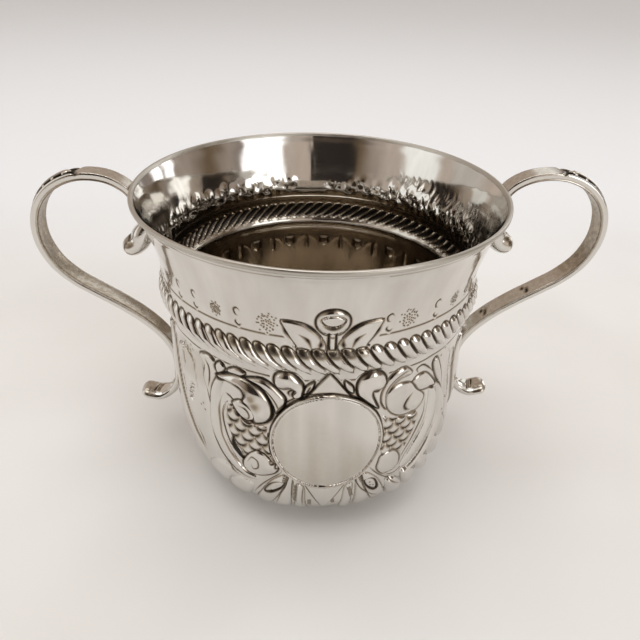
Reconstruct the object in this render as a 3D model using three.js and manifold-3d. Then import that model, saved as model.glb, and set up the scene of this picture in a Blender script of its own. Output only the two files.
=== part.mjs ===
import * as THREE from 'three';
import { mergeVertices } from 'three/addons/utils/BufferGeometryUtils.js';
import Module from 'manifold-3d';

// A two-handled silver porringer: a deep bowl raised from sheet with a flared lip, a rope girdle,
// spiral lobes and flutes below it and a plain oval cartouche in front, on a low ring foot,
// with two cast S-scroll handles soldered to its sides.
// Millimetres, +Z up. The origin is the middle of the plane that the foot stands on.
// The cartouche looks along -Y and the handles stand out along -X and +X.

// Driving dimensions of the rim wire and the ring foot
const rimRadius = 52;
const rimWidth = 1.7;
const rimHeight = 1.35;
const footHeight = 2.8;
const footRadius = 27;
const footWidth = 3.2;
const footNeckWidth = 1.5;
const joinGap = 0.3;

// Driving dimensions of the bowl: how far the wall lies inside the rim's edge at each station,
// and how far the station lies below the rim
const overallHeight = 99;
const wallThickness = 0.75;
const lipInset = 0.8;
const flareInset = 2.6;
const flareDrop = 5.5;
const throatInset = 4.35;
const throatDrop = 11.5;
const waistInset = 5.5;
const waistDrop = 18;
const girdleInset = 5.9;
const girdleDrop = 28;
const hipInset = 6.5;
const hipDrop = 36;
const bellyInset = 5.65;
const bellyDrop = 61;
const baseRadius = 28;
const baseRoundness = 2.5;

// Driving dimensions of the rope girdle
const ropeLobes = 82;
const ropeTop = 23.3;
const ropeHeight = 8;
const ropeRelief = 1.05;
const ropeLean = 1.45;
const ropeSweep = 1.5;

// Driving dimensions of the spiral lobes and flutes
const flutePairs = 21;
const fluteTop = 36.6;
const fluteRelief = 0.95;
const fluteSwirl = THREE.MathUtils.degToRad(48);
const swirlPower = 2.2;
const panelHalfAngle = THREE.MathUtils.degToRad(45);
const panelBlend = THREE.MathUtils.degToRad(7);

// Driving dimensions of the chased front: the oval cartouche, its points and the flower
const frontTurn = THREE.MathUtils.degToRad(2.2);
const cartoucheDrop = 55.8;
const cartoucheHalfWidth = 15.4;
const cartoucheHalfHeight = 17.3;
const cartoucheEdge = 1.1;
const edgeRelief = 1;
const plateRelief = 0.55;
const pointHalfWidth = 5.8;
const upperPointDrop = 31.4;
const lowerPointDrop = 87.2;
const bossDrop = 15.8;
const bossRadius = 4.1;
const bossRelief = 1.5;
const stemWidth = 2.2;
const leafReach = 11.6;
const leafTipDrop = 16.1;
const leafRelief = 0.9;

// Driving dimensions of the scrolls on each side of the cartouche: a swelling volute above, a
// smaller one below, a berry beside the upper point, the crescent that holds them, a field of
// scales in it and a long leaf outside it. Domes are placed round the wall from the
// cartouche's axis, and the raised shapes straight across from it.
const voluteAcross = 19.2;
const voluteDrop = 44.2;
const voluteHalfWidth = 4.8;
const voluteHalfHeight = 7;
const voluteRelief = 1.7;
const curlAcross = 18.6;
const curlDrop = 68.3;
const curlHalfWidth = 5.5;
const curlHalfHeight = 5.7;
const curlRelief = 1.15;
const berryAcross = 10.4;
const berryDrop = 36;
const berryHalfWidth = 3.6;
const berryHalfHeight = 3.7;
const berryRelief = 1.3;
const crescentAcross = 19.9;
const crescentDrop = 56.4;
const crescentHalfWidth = 11.7;
const crescentHalfHeight = 18.6;
const crescentWidth = 2.9;
const crescentRelief = 0.95;
const scalesAcross = 20.6;
const scalesDrop = 57;
const scalesHalfWidth = 5.6;
const scalesHalfHeight = 8.6;
const scalesRelief = 0.45;
const sideLeafAcross = 31.3;
const sideLeafDrop = 34.6;
const sideLeafHalfWidth = 2.4;
const sideLeafLength = 16.9;
const sideLeafRelief = 0.5;

// Driving dimensions of the gadroons that fan out below the cartouche
const gadroonsPerSide = 3;
const gadroonPitch = THREE.MathUtils.degToRad(15.5);
const gadroonReach = 28.5;
const gadroonHalfLength = 8;
const gadroonHalfWidth = 3;
const gadroonRelief = 0.8;

// Driving dimensions of the handles, outwards from the rim's edge or the wall, and downwards
// from the rim. Each was bent and soldered by hand, so the two differ a little.
const strapWidth = 6.2;
const strapThickness = 2.5;
const neckWidth = 4.7;
const neckThickness = 2.1;
const upperBudWidth = 5.8;
const upperBudThickness = 3.8;
const upperBudLength = 5.2;
const upperBudReach = 7;
const upperBudDrop = 19.6;
const upperCurlDepth = 1.3;
const upperCurlReach = 4.4;
const climbDrop = 12.5;
const seatTopDrop = 8.5;
const liftDrop = 4.6;
const shoulderReach = 2.4;
const shoulderDrop = 0.9;
const handleRise = 2.5;
const elbowDrop = 15;
const elbowFall = 18.9;
const archShare = 0.41;
const heelDrop = 58;
const heelLength = 8;
const heelReach = 2.6;
const lowerBudWidth = 6.8;
const lowerBudThickness = 3.2;
const lowerBudLength = 5.6;
const lowerBudReach = 9.5;
const lowerBudDrop = 75;
const lowerCurlDepth = 1.8;
const lowerCurlReach = 3.4;
const leftReach = 29.8;
const leftSeatDrop = 1.2;
const rightReach = 31.6;
const rightSeatDrop = -1.2;
const handles = [
  { name: 'left', side: -1, reach: leftReach, drop: leftSeatDrop },
  { name: 'right', side: 1, reach: rightReach, drop: rightSeatDrop },
];

// Driving dimensions of the beaded rat-tails on the handles' outer faces
const tailWidth = 2.6;
const tailHeight = 1.1;
const tailBeads = 9;
const tailStart = 0.3;
const tailEnd = 0.74;
const beadedShare = 0.5;

// How finely curved surfaces are divided
const columnsPerPair = 4;
const wallColumns = flutePairs * columnsPerPair;
const strapSteps = 40;
const footColumns = 48;

const silver = { color: 0xcfcac2, roughness: 0.16, metalness: 1 };
const fullTurn = 2 * Math.PI;
const quarterTurn = Math.PI / 2;
const frontAngle = -quarterTurn + frontTurn;

const wasm = await Module();
wasm.setup();

function solidOf(geometry) {
  const bare = geometry.clone();
  bare.deleteAttribute('normal');
  bare.deleteAttribute('uv');
  const merged = mergeVertices(bare, 1e-4);
  const vertProperties = new Float32Array(merged.attributes.position.array);
  const triVerts = new Uint32Array(merged.index.array);
  return new wasm.Manifold(new wasm.Mesh({ numProp: 3, vertProperties, triVerts }));
}

function geometryOf(solid) {
  const mesh = solid.getMesh();
  const geometry = new THREE.BufferGeometry();
  geometry.setAttribute('position', new THREE.BufferAttribute(mesh.vertProperties, 3));
  geometry.setIndex(new THREE.BufferAttribute(mesh.triVerts, 1));
  geometry.computeVertexNormals();
  return geometry;
}

function named(name, geometry) {
  const mesh = new THREE.Mesh(geometry, new THREE.MeshStandardMaterial(silver));
  mesh.name = name;
  return mesh;
}

// The bowl's outline above the belly is one smooth curve through its named stations.
const lipDrop = rimHeight + joinGap;
const bellyRadius = rimRadius - bellyInset;
const wallStations = [
  new THREE.Vector2(lipDrop, rimRadius - lipInset),
  new THREE.Vector2(flareDrop, rimRadius - flareInset),
  new THREE.Vector2(throatDrop, rimRadius - throatInset),
  new THREE.Vector2(waistDrop, rimRadius - waistInset),
  new THREE.Vector2(girdleDrop, rimRadius - girdleInset),
  new THREE.Vector2(hipDrop, rimRadius - hipInset),
  new THREE.Vector2(bellyDrop, bellyRadius),
];

function slopeAt(index) {
  const before = wallStations[Math.max(index - 1, 0)];
  const after = wallStations[Math.min(index + 1, wallStations.length - 1)];
  return index === wallStations.length - 1 ? 0 : (after.y - before.y) / (after.x - before.x);
}

function radiusAt(drop) {
  let index = 0;
  while (index < wallStations.length - 2 && drop > wallStations[index + 1].x) index += 1;
  const from = wallStations[index];
  const to = wallStations[index + 1];
  const span = to.x - from.x;
  const t = (drop - from.x) / span;
  const lean = slopeAt(index) * span;
  const leanAfter = slopeAt(index + 1) * span;
  const rise = to.y - from.y;
  return from.y + t * (lean + t * (3 * rise - 2 * lean - leanAfter + t * (lean + leanAfter - 2 * rise)));
}

// A station of the outline: its drop below the rim, its radius, and the way its outer face looks.
// Below the belly the outline rounds into the flat base along a quarter of a superellipse.
const baseDrop = overallHeight - footHeight - joinGap;

function upperStation(drop) {
  const step = 0.05;
  const slope = (radiusAt(drop + step) - radiusAt(drop - step)) / (2 * step);
  const length = Math.hypot(1, slope);
  return { drop, radius: radiusAt(drop), outward: 1 / length, downward: -slope / length };
}

function lowerStation(share) {
  const turn = share * quarterTurn;
  const power = 2 / baseRoundness;
  const across = Math.cos(turn) ** power;
  const along = Math.sin(turn) ** power;
  const radius = baseRadius + (bellyRadius - baseRadius) * across;
  const drop = bellyDrop + (baseDrop - bellyDrop) * along;
  const outward = across ** (baseRoundness - 1) / (bellyRadius - baseRadius);
  const downward = along ** (baseRoundness - 1) / (baseDrop - bellyDrop);
  const length = Math.hypot(outward, downward);
  return { drop, radius, outward: outward / length, downward: downward / length };
}

function pointAt(station, angle, relief) {
  const radius = station.radius + relief * station.outward;
  const z = overallHeight - station.drop - relief * station.downward;
  return new THREE.Vector3(radius * Math.cos(angle), radius * Math.sin(angle), z);
}

// A ring holds the points of one level of a surface, in order of their angle.
function ringOf(station, count, start, reliefAt) {
  const ring = [];
  for (let i = 0; i < count; i += 1) {
    const angle = start + (i / count) * fullTurn;
    ring.push({ angle, point: pointAt(station, angle, reliefAt(i, angle)) });
  }
  return ring;
}

// A closed surface joined from rings. Rings of one count join point to point.
// Rings of different counts join by the angles of their points.
class RingSurface {
  constructor() {
    this.positions = [];
    this.indices = [];
  }

  add(ring) {
    return ring.map(({ angle, point }) => {
      this.positions.push(point.x, point.y, point.z);
      return { angle, index: this.positions.length / 3 - 1 };
    });
  }

  face(a, b, c) {
    this.indices.push(a.index, b.index, c.index);
  }

  join(upper, lower) {
    const shift = upper.length === lower.length ? 0 : this.nearest(upper[0].angle, lower);
    let i = 0;
    let j = 0;
    while (i < upper.length || j < lower.length) {
      const a = upper[i % upper.length];
      const b = lower[(j + shift) % lower.length];
      const upperShare = (i + 1) / upper.length;
      const lowerShare = (j + 1) / lower.length;
      if (j < lower.length && lowerShare <= upperShare) {
        this.face(a, b, lower[(j + 1 + shift) % lower.length]);
        j += 1;
      } else {
        this.face(a, b, upper[(i + 1) % upper.length]);
        i += 1;
      }
    }
  }

  joinAll(rings) {
    for (let i = 0; i + 1 < rings.length; i += 1) this.join(rings[i], rings[i + 1]);
  }

  nearest(angle, ring) {
    const away = ring.map((entry) => Math.cos(entry.angle - angle));
    return away.indexOf(Math.max(...away));
  }

  closeBelow(ring, point) {
    const [centre] = this.add([{ angle: 0, point }]);
    ring.forEach((entry, i) => this.face(entry, centre, ring[(i + 1) % ring.length]));
  }

  closeAbove(ring, point) {
    const [centre] = this.add([{ angle: 0, point }]);
    ring.forEach((entry, i) => this.face(centre, entry, ring[(i + 1) % ring.length]));
  }

  geometry() {
    const geometry = new THREE.BufferGeometry();
    geometry.setAttribute('position', new THREE.Float32BufferAttribute(this.positions, 3));
    geometry.setIndex(this.indices);
    geometry.computeVertexNormals();
    return geometry;
  }
}

// The spiral lobes and flutes: broad rounded lobes between narrow hollow flutes.
// They swirl more and more towards the base, die out into it and stop beside the front panel.
const pairShape = [-0.4, 0.5, 0.6, 0.3];
const fluteLevels = [0, 0.06, 0.17, 0.36, 0.6, 0.8, 1];
const baseLevels = [0.16, 0.3, 0.44, 0.58, 0.72, 0.86, 1];

function swirlAt(drop) {
  const share = Math.max((drop - fluteTop) / (baseDrop - fluteTop), 0);
  return fluteSwirl * share ** swirlPower;
}

function panelShare(angle) {
  const away = Math.abs(Math.atan2(Math.sin(angle - frontAngle), Math.cos(angle - frontAngle)));
  return THREE.MathUtils.smoothstep(away, panelHalfAngle, panelHalfAngle + panelBlend);
}

function fluteRing(station, strength, offset) {
  return ringOf(station, wallColumns, swirlAt(station.drop), (i, angle) => {
    const shape = pairShape[i % columnsPerPair];
    return fluteRelief * shape * strength * panelShare(angle) - offset;
  });
}

function fluteRings(offset) {
  const rings = fluteLevels.map((level, i) => {
    const drop = THREE.MathUtils.lerp(fluteTop, bellyDrop, level);
    return fluteRing(upperStation(drop), Math.min(i / 2, 1), offset);
  });
  baseLevels.forEach((level) => {
    const strength = 1 - THREE.MathUtils.smoothstep(level, 0.7, 1);
    rings.push(fluteRing(lowerStation(level), strength, offset));
  });
  return rings;
}

// The rope girdle: rounded lobes that lean over and sweep into a point below.
const ropeLevels = [0, 0.12, 0.4, 0.72, 1];
const ropeSwell = [0, 0.8, 1, 0.7, 0];

function ropeRings() {
  return ropeLevels.map((level, row) => {
    const station = upperStation(ropeTop + ropeHeight * level);
    const start = (ropeLean * level ** ropeSweep / ropeLobes) * fullTurn;
    return ringOf(station, 2 * ropeLobes, start, (i) => (i % 2) * ropeSwell[row] * ropeRelief);
  });
}

function plainRing(drop, offset) {
  return ringOf(upperStation(drop), wallColumns, 0, () => -offset);
}

const lipLevels = [0.25, 0.5, 1];

// The lip's upper edge is level, so its wall is measured straight across there.
function lipRings(offset) {
  const edge = { ...upperStation(lipDrop), outward: 1, downward: 0 };
  const rings = [ringOf(edge, wallColumns, 0, () => -offset)];
  lipLevels.forEach((level) => {
    rings.push(plainRing(THREE.MathUtils.lerp(lipDrop, throatDrop, level), offset));
  });
  return rings;
}

function bowlShell() {
  const surface = new RingSurface();
  const outer = [
    ...lipRings(0),
    plainRing((throatDrop + waistDrop) / 2, 0),
    plainRing(waistDrop, 0),
    ...ropeRings(),
    plainRing((ropeTop + ropeHeight + fluteTop) / 2, 0),
    ...fluteRings(0),
  ];
  const inner = [
    ...lipRings(wallThickness),
    plainRing((throatDrop + waistDrop) / 2, wallThickness),
    plainRing(waistDrop, wallThickness),
    plainRing(girdleDrop, wallThickness),
    ...fluteRings(wallThickness),
  ].reverse();
  const outerRings = outer.map((ring) => surface.add(ring));
  const innerRings = inner.map((ring) => surface.add(ring));
  surface.joinAll(outerRings);
  surface.joinAll(innerRings);
  surface.join(innerRings[innerRings.length - 1], outerRings[0]);
  const baseHeight = overallHeight - baseDrop;
  surface.closeBelow(outerRings[outerRings.length - 1], new THREE.Vector3(0, 0, baseHeight));
  surface.closeAbove(innerRings[0], new THREE.Vector3(0, 0, baseHeight + wallThickness));
  return surface.geometry();
}

// A plain solid of the bowl's outline, grown by an offset, for what is raised on it or fitted to it.
function outlineSolid(offset) {
  const profile = [new THREE.Vector2(0, overallHeight - baseDrop - offset)];
  const stations = baseLevels.map(lowerStation).reverse();
  const bellyStart = (bellyDrop + hipDrop) / 2;
  [bellyDrop, bellyStart, hipDrop, girdleDrop, waistDrop, throatDrop, flareDrop, lipDrop]
    .forEach((drop) => stations.push(upperStation(drop)));
  stations.forEach((station) => {
    const radius = station.radius + offset * station.outward;
    profile.push(new THREE.Vector2(radius, overallHeight - station.drop - offset * station.downward));
  });
  const top = overallHeight - lipDrop;
  profile.push(new THREE.Vector2(profile[profile.length - 1].x, top), new THREE.Vector2(0, top));
  const geometry = new THREE.LatheGeometry(profile, wallColumns);
  geometry.rotateX(quarterTurn);
  return solidOf(geometry);
}

// A raised shape on the front wall: its outline is drawn across and down from the middle of the
// cartouche's axis at the rim, and it stands the given relief above the wall.
const frontDepthShare = 0.7;

function raisedOnFront(shape, relief, curveSegments = 12) {
  const nearPlane = bellyRadius * frontDepthShare;
  const options = { depth: rimRadius, bevelEnabled: false, curveSegments };
  const geometry = new THREE.ExtrudeGeometry(shape, options);
  geometry.rotateX(quarterTurn);
  geometry.translate(0, -nearPlane, overallHeight);
  geometry.rotateZ(frontTurn);
  const skin = outlineSolid(relief);
  const core = outlineSolid(-wallThickness / 2);
  return solidOf(geometry).intersect(skin).subtract(core);
}

function ovalShape(inset) {
  const shape = new THREE.Shape();
  const halfWidth = cartoucheHalfWidth - inset;
  const halfHeight = cartoucheHalfHeight - inset;
  shape.absellipse(0, -cartoucheDrop, halfWidth, halfHeight, 0, fullTurn);
  return shape;
}

function cartoucheRing() {
  const shape = ovalShape(0);
  shape.holes.push(new THREE.Path(ovalShape(cartoucheEdge).getPoints(10).reverse()));
  return shape;
}

function pointShape(tipDrop, sign) {
  const shape = new THREE.Shape();
  const rootDrop = cartoucheDrop - sign * (cartoucheHalfHeight - cartoucheEdge);
  shape.moveTo(-pointHalfWidth, -rootDrop);
  shape.lineTo(pointHalfWidth, -rootDrop);
  shape.lineTo(0, -tipDrop);
  return shape;
}

// A dome on the front wall: the cap of a sphere, stretched in height, that stands on the wall.
function domeOnFront(across, drop, halfWidth, halfHeight, relief, columns, rows) {
  const sphereRadius = (halfWidth ** 2 + relief ** 2) / (2 * relief);
  const geometry = new THREE.SphereGeometry(sphereRadius, columns, rows);
  const wall = radiusAt(Math.min(drop, bellyDrop));
  geometry.scale(1, 1, halfHeight / halfWidth);
  geometry.translate(0, sphereRadius - relief - wall, overallHeight - drop);
  geometry.rotateZ(frontTurn + across / wall);
  return solidOf(geometry).subtract(outlineSolid(-wallThickness / 2));
}

// The flower's middle is a round boss, which is divided more finely.
const bossColumns = 24;
const bossRows = 16;

function boss() {
  return domeOnFront(0, bossDrop, bossRadius, bossRadius, bossRelief, bossColumns, bossRows);
}

function stemShape() {
  const shape = new THREE.Shape();
  const top = -bossDrop - bossRadius / 2;
  const bottom = -ropeTop - stemWidth / 2;
  shape.moveTo(-stemWidth / 2, top);
  shape.lineTo(-stemWidth / 2, bottom);
  shape.lineTo(stemWidth / 2, bottom);
  shape.lineTo(stemWidth / 2, top);
  return shape;
}

// A leaf grows from the rope beside the stem and curls out to its tip.
const leafHeelShare = 0.72;
const leafBackShare = 0.3;
const leafBellyShare = 0.92;
const leafBellyFall = 5;
const leafOverlap = 0.4;
const leafFootDrop = ropeTop + leafOverlap;

function leafShape(side) {
  const shape = new THREE.Shape();
  const tip = new THREE.Vector2(side * leafReach, -leafTipDrop);
  shape.moveTo(side * stemWidth, -leafFootDrop);
  shape.quadraticCurveTo(side * leafReach * leafBackShare, tip.y, tip.x, tip.y);
  const belly = new THREE.Vector2(side * leafReach * leafBellyShare, tip.y - leafBellyFall);
  shape.quadraticCurveTo(belly.x, belly.y, side * leafReach * leafHeelShare, -leafFootDrop);
  return shape;
}

// The scrolls on one side of the cartouche, and the gadroons below them. The crescent is
// widest at its middle and thins out towards its ends.
const crescentStart = THREE.MathUtils.degToRad(-84);
const crescentEnd = THREE.MathUtils.degToRad(72);
const crescentTipShare = 0.03;
const domeColumns = 10;
const domeRows = 12;
const shapeSegments = 4;

function crescentShape(side) {
  const shape = new THREE.Shape();
  const steps = 2 * shapeSegments;
  const edge = (i, inset) => {
    const turn = THREE.MathUtils.lerp(crescentStart, crescentEnd, i / steps);
    const across = crescentAcross + (crescentHalfWidth - inset) * Math.cos(turn);
    const height = crescentHalfHeight - inset * crescentTipShare;
    return new THREE.Vector2(side * across, height * Math.sin(turn) - crescentDrop);
  };
  const points = [];
  for (let i = 0; i <= steps; i += 1) points.push(edge(i, 0));
  for (let i = steps - 1; i > 0; i -= 1) points.push(edge(i, crescentWidth));
  return shape.setFromPoints(points);
}

function scalesShape(side) {
  const shape = new THREE.Shape();
  shape.absellipse(side * scalesAcross, -scalesDrop, scalesHalfWidth, scalesHalfHeight, 0, fullTurn);
  return shape;
}

function sideLeafShape(side) {
  const shape = new THREE.Shape();
  const middle = side * sideLeafAcross;
  const bulge = 2 * sideLeafHalfWidth;
  shape.moveTo(middle, -sideLeafDrop);
  shape.quadraticCurveTo(middle + bulge, -sideLeafDrop, middle, -sideLeafDrop - sideLeafLength);
  shape.quadraticCurveTo(middle - bulge, -sideLeafDrop, middle, -sideLeafDrop);
  return shape;
}

function gadroonShape(side, place) {
  const shape = new THREE.Shape();
  const turn = side * place * gadroonPitch - quarterTurn;
  const across = gadroonReach * Math.cos(turn);
  const height = gadroonReach * Math.sin(turn) - cartoucheDrop;
  shape.absellipse(across, height, gadroonHalfLength, gadroonHalfWidth, 0, fullTurn, false, turn);
  return shape;
}

function scrolls(side) {
  const dome = (across, ...sizes) => domeOnFront(side * across, ...sizes, domeColumns, domeRows);
  const parts = [
    dome(voluteAcross, voluteDrop, voluteHalfWidth, voluteHalfHeight, voluteRelief),
    dome(curlAcross, curlDrop, curlHalfWidth, curlHalfHeight, curlRelief),
    dome(berryAcross, berryDrop, berryHalfWidth, berryHalfHeight, berryRelief),
    raisedOnFront(crescentShape(side), crescentRelief),
    raisedOnFront(scalesShape(side), scalesRelief, shapeSegments),
    raisedOnFront(sideLeafShape(side), sideLeafRelief, shapeSegments),
  ];
  for (let place = 1; place <= gadroonsPerSide; place += 1) {
    parts.push(raisedOnFront(gadroonShape(side, place), gadroonRelief, shapeSegments));
  }
  return parts;
}

function bowl() {
  const parts = [
    raisedOnFront(ovalShape(cartoucheEdge / 2), plateRelief),
    raisedOnFront(cartoucheRing(), edgeRelief),
    raisedOnFront(pointShape(upperPointDrop, 1), plateRelief),
    raisedOnFront(pointShape(lowerPointDrop, -1), plateRelief),
    raisedOnFront(stemShape(), leafRelief),
    raisedOnFront(leafShape(-1), leafRelief),
    raisedOnFront(leafShape(1), leafRelief),
    boss(),
    ...scrolls(-1),
    ...scrolls(1),
  ];
  return parts.reduce((whole, part) => whole.add(part), solidOf(bowlShell()));
}

// The rim wire is a half-round band on the edge of the lip, flush with the bowl inside.
function rimWire() {
  const inner = rimRadius - rimWidth;
  const top = overallHeight;
  const bottom = overallHeight - rimHeight;
  const round = rimHeight / 2;
  const profile = [new THREE.Vector2(inner, bottom), new THREE.Vector2(rimRadius - round, bottom)];
  for (let i = 1; i < 4; i += 1) {
    const turn = -quarterTurn + (i / 4) * Math.PI;
    const x = rimRadius - round + round * Math.cos(turn);
    profile.push(new THREE.Vector2(x, bottom + round + round * Math.sin(turn)));
  }
  profile.push(new THREE.Vector2(rimRadius - round, top), new THREE.Vector2(inner, top));
  profile.push(profile[0].clone());
  const geometry = new THREE.LatheGeometry(profile, wallColumns);
  geometry.rotateX(quarterTurn);
  return geometry;
}

// The ring foot is a narrow collet: a thin neck that spreads to a flat ring to stand on.
function footRing() {
  const inner = footRadius - footWidth;
  const neckOuter = footRadius - (footWidth - footNeckWidth) / 2;
  const neckInner = neckOuter - footNeckWidth;
  const ledge = footHeight / 3;
  const profile = [
    new THREE.Vector2(inner, 0),
    new THREE.Vector2(footRadius, 0),
    new THREE.Vector2(footRadius, ledge / 2),
    new THREE.Vector2(neckOuter, ledge),
    new THREE.Vector2(neckOuter, footHeight),
    new THREE.Vector2(neckInner, footHeight),
    new THREE.Vector2(neckInner, ledge),
    new THREE.Vector2(inner, ledge / 2),
    new THREE.Vector2(inner, 0),
  ];
  const geometry = new THREE.LatheGeometry(profile, footColumns);
  geometry.rotateX(quarterTurn);
  return geometry;
}

// The middle line of a handle, in the plane through the bowl's axis. It begins in the bud that
// curls out below the rim, climbs the lip, sweeps out round the elbow and back in to the belly,
// and ends in the lower bud. The elbow is two quarter ellipses, a taller one below.
const elbowTurns = [105, 78, 50, 24, -4, -30, -54];

// The sweep from the elbow in to the heel: shares of the handle's reach and of the sweep's fall.
const sweepStations = [
  new THREE.Vector2(0.58, 0.14),
  new THREE.Vector2(0.34, 0.32),
  new THREE.Vector2(0.12, 0.52),
];
const heelShare = 0.76;

function elbowPoint(degrees, reach) {
  const turn = THREE.MathUtils.degToRad(degrees);
  const height = degrees > 0 ? elbowDrop + handleRise : elbowFall;
  const share = archShare + (1 - archShare) * Math.cos(turn);
  return [rimRadius + share * reach, elbowDrop - height * Math.sin(turn)];
}

function handleCurve({ side, reach, drop }) {
  const half = strapThickness / 2;
  const onWall = (level, clear) => [radiusAt(level) + half + clear, level];
  const sweepEnd = elbowPoint(elbowTurns[elbowTurns.length - 1], reach)[1];
  const fall = heelDrop - sweepEnd;
  const onSweep = ({ x, y }) => [rimRadius + x * reach, sweepEnd + y * fall];
  const onCurl = (share, level) => [rimRadius + share * lowerBudReach, level];
  const curlTop = (2 * upperBudDrop + climbDrop) / 3;
  const points = [
    [rimRadius + upperBudReach, upperBudDrop],
    [rimRadius + upperBudReach / 2, upperBudDrop + upperCurlDepth],
    onWall(upperBudDrop + upperCurlDepth / 2, upperCurlReach),
    onWall(curlTop, 0.4 * upperCurlReach),
    onWall(climbDrop, 0),
    onWall(seatTopDrop, 0),
    onWall(liftDrop, shoulderReach / 4),
    [rimRadius + shoulderReach, shoulderDrop],
    ...elbowTurns.map((degrees) => elbowPoint(degrees, reach)),
    ...sweepStations.map(onSweep),
    [bellyRadius + half + heelReach, sweepEnd + heelShare * fall],
    onWall(heelDrop, 0),
    [bellyRadius + half, heelDrop + heelLength],
    [bellyRadius + half + 0.2 * lowerCurlReach, (heelDrop + heelLength + lowerBudDrop) / 2],
    [bellyRadius + half + lowerCurlReach, lowerBudDrop],
    onCurl(0.3, lowerBudDrop + lowerCurlDepth),
    onCurl(0.65, lowerBudDrop + 0.7 * lowerCurlDepth),
    onCurl(1, lowerBudDrop),
  ];
  const middle = points.map(([x, level]) => {
    return new THREE.Vector3(side * x, 0, overallHeight - level - drop);
  });
  return new THREE.CatmullRomCurve3(middle, false, 'centripetal');
}

// The strap's width and thickness at a distance along it: round buds at both ends, slim necks
// behind them, and the full strap over the sweep. Both changes are measured in bud lengths.
const neckChange = new THREE.Vector2(0.7, 1.7);
const strapChange = new THREE.Vector2(2, 8);
const bluntness = 0.02;

function strapSize(distance, length) {
  const upper = distance < length / 2;
  const budWidth = upper ? upperBudWidth : lowerBudWidth;
  const budThickness = upper ? upperBudThickness : lowerBudThickness;
  const budLength = upper ? upperBudLength : lowerBudLength;
  const fromEnd = Math.min(distance, length - distance);
  const budShare = fromEnd / budLength;
  const neck = THREE.MathUtils.smoothstep(budShare, neckChange.x, neckChange.y);
  const full = THREE.MathUtils.smoothstep(budShare, strapChange.x, strapChange.y);
  const neckWide = THREE.MathUtils.lerp(budWidth, neckWidth, neck);
  const neckDeep = THREE.MathUtils.lerp(budThickness, neckThickness, neck);
  const away = Math.max(1 - 2 * budShare, 0);
  const round = Math.sqrt(Math.max(1 - away * away, bluntness));
  const width = THREE.MathUtils.lerp(neckWide, strapWidth, full) * round;
  return { width, thickness: THREE.MathUtils.lerp(neckDeep, strapThickness, full) * round };
}

// Distances of the strap's rings from its start, closer together round the buds.
function strapDistances(length) {
  const budShares = [0, 0.04, 0.14, 0.32, 0.6, 1, 1.4];
  const start = budShares.map((share) => share * upperBudLength);
  const end = budShares.map((share) => length - share * lowerBudLength).reverse();
  const from = start[start.length - 1];
  const middle = [];
  for (let i = 1; i < strapSteps; i += 1) middle.push(from + (i / strapSteps) * (end[0] - from));
  return [...start, ...middle, ...end];
}

// Half the strap's section, from the middle of its inner face to the middle of its outer face:
// a flat inner face, plain edges, a reed along each edge and a shallow hollow between the reeds.
const strapSection = [
  new THREE.Vector2(0.4, -0.5),
  new THREE.Vector2(0.5, -0.38),
  new THREE.Vector2(0.5, 0.3),
  new THREE.Vector2(0.42, 0.5),
  new THREE.Vector2(0.3, 0.34),
];

function strapRing(curve, distance, length, side) {
  const centre = curve.getPointAt(distance / length);
  const tangent = curve.getTangentAt(distance / length);
  const outward = new THREE.Vector3(-side * tangent.z, 0, side * tangent.x);
  const { width, thickness } = strapSize(distance, length);
  const turned = [...strapSection].reverse().map((entry) => new THREE.Vector2(-entry.x, entry.y));
  return [...strapSection, ...turned].map(({ x, y }) => {
    const point = centre.clone().addScaledVector(outward, y * thickness);
    point.y += x * width;
    return { angle: 0, point };
  });
}

function strap(handle) {
  const curve = handleCurve(handle);
  const length = curve.getLength();
  const surface = new RingSurface();
  const rings = strapDistances(length).map((distance) => {
    const ring = strapRing(curve, distance, length, handle.side);
    return surface.add(handle.side > 0 ? ring.reverse() : ring);
  });
  surface.joinAll(rings);
  surface.closeAbove(rings[0], curve.getPointAt(0));
  surface.closeBelow(rings[rings.length - 1], curve.getPointAt(1));
  return solidOf(surface.geometry());
}

// The rat-tail is a thin strip on the outer face: round beads that dwindle, then a plain tail.
// It is narrower between its beads and ends at a share of its first width.
const stepsPerBead = 6;
const beadGap = 0.62;
const tailTip = 0.38;
const tailSeat = 0.42;
const tailShoulder = 0.7;

function ratTail(handle) {
  const curve = handleCurve(handle);
  const steps = tailBeads * stepsPerBead;
  const surface = new RingSurface();
  const rings = [];
  for (let i = 0; i <= steps; i += 1) {
    const along = i / steps;
    const share = THREE.MathUtils.lerp(tailStart, tailEnd, along);
    const centre = curve.getPointAt(share);
    const tangent = curve.getTangentAt(share);
    const outward = new THREE.Vector3(-handle.side * tangent.z, 0, handle.side * tangent.x);
    const dwindle = 1 - (1 - tailTip) * along;
    const beading = Math.abs(Math.sin((along / beadedShare) * tailBeads * Math.PI));
    const bead = along < beadedShare ? THREE.MathUtils.lerp(beadGap, 1, beading) : 1;
    const half = (tailWidth / 2) * dwindle * bead;
    const low = strapThickness * tailSeat + joinGap;
    const high = low + tailHeight * dwindle * bead;
    const shoulder = half * tailShoulder;
    const middle = (high + low) / 2;
    const section = [[-half, low], [-shoulder, middle], [0, high], [shoulder, middle], [half, low]];
    const ring = section.map(([x, y]) => {
      const point = centre.clone().addScaledVector(outward, y);
      point.y += x;
      return { angle: 0, point };
    });
    rings.push(surface.add(handle.side > 0 ? ring : ring.reverse()));
  }
  surface.joinAll(rings);
  surface.closeAbove(rings[0], averageOf(surface, rings[0]));
  surface.closeBelow(rings[steps], averageOf(surface, rings[steps]));
  return surface.geometry();
}

function averageOf(surface, ring) {
  const sum = new THREE.Vector3();
  ring.forEach(({ index }) => {
    sum.add(new THREE.Vector3().fromArray(surface.positions, 3 * index));
  });
  return sum.divideScalar(ring.length);
}

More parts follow.
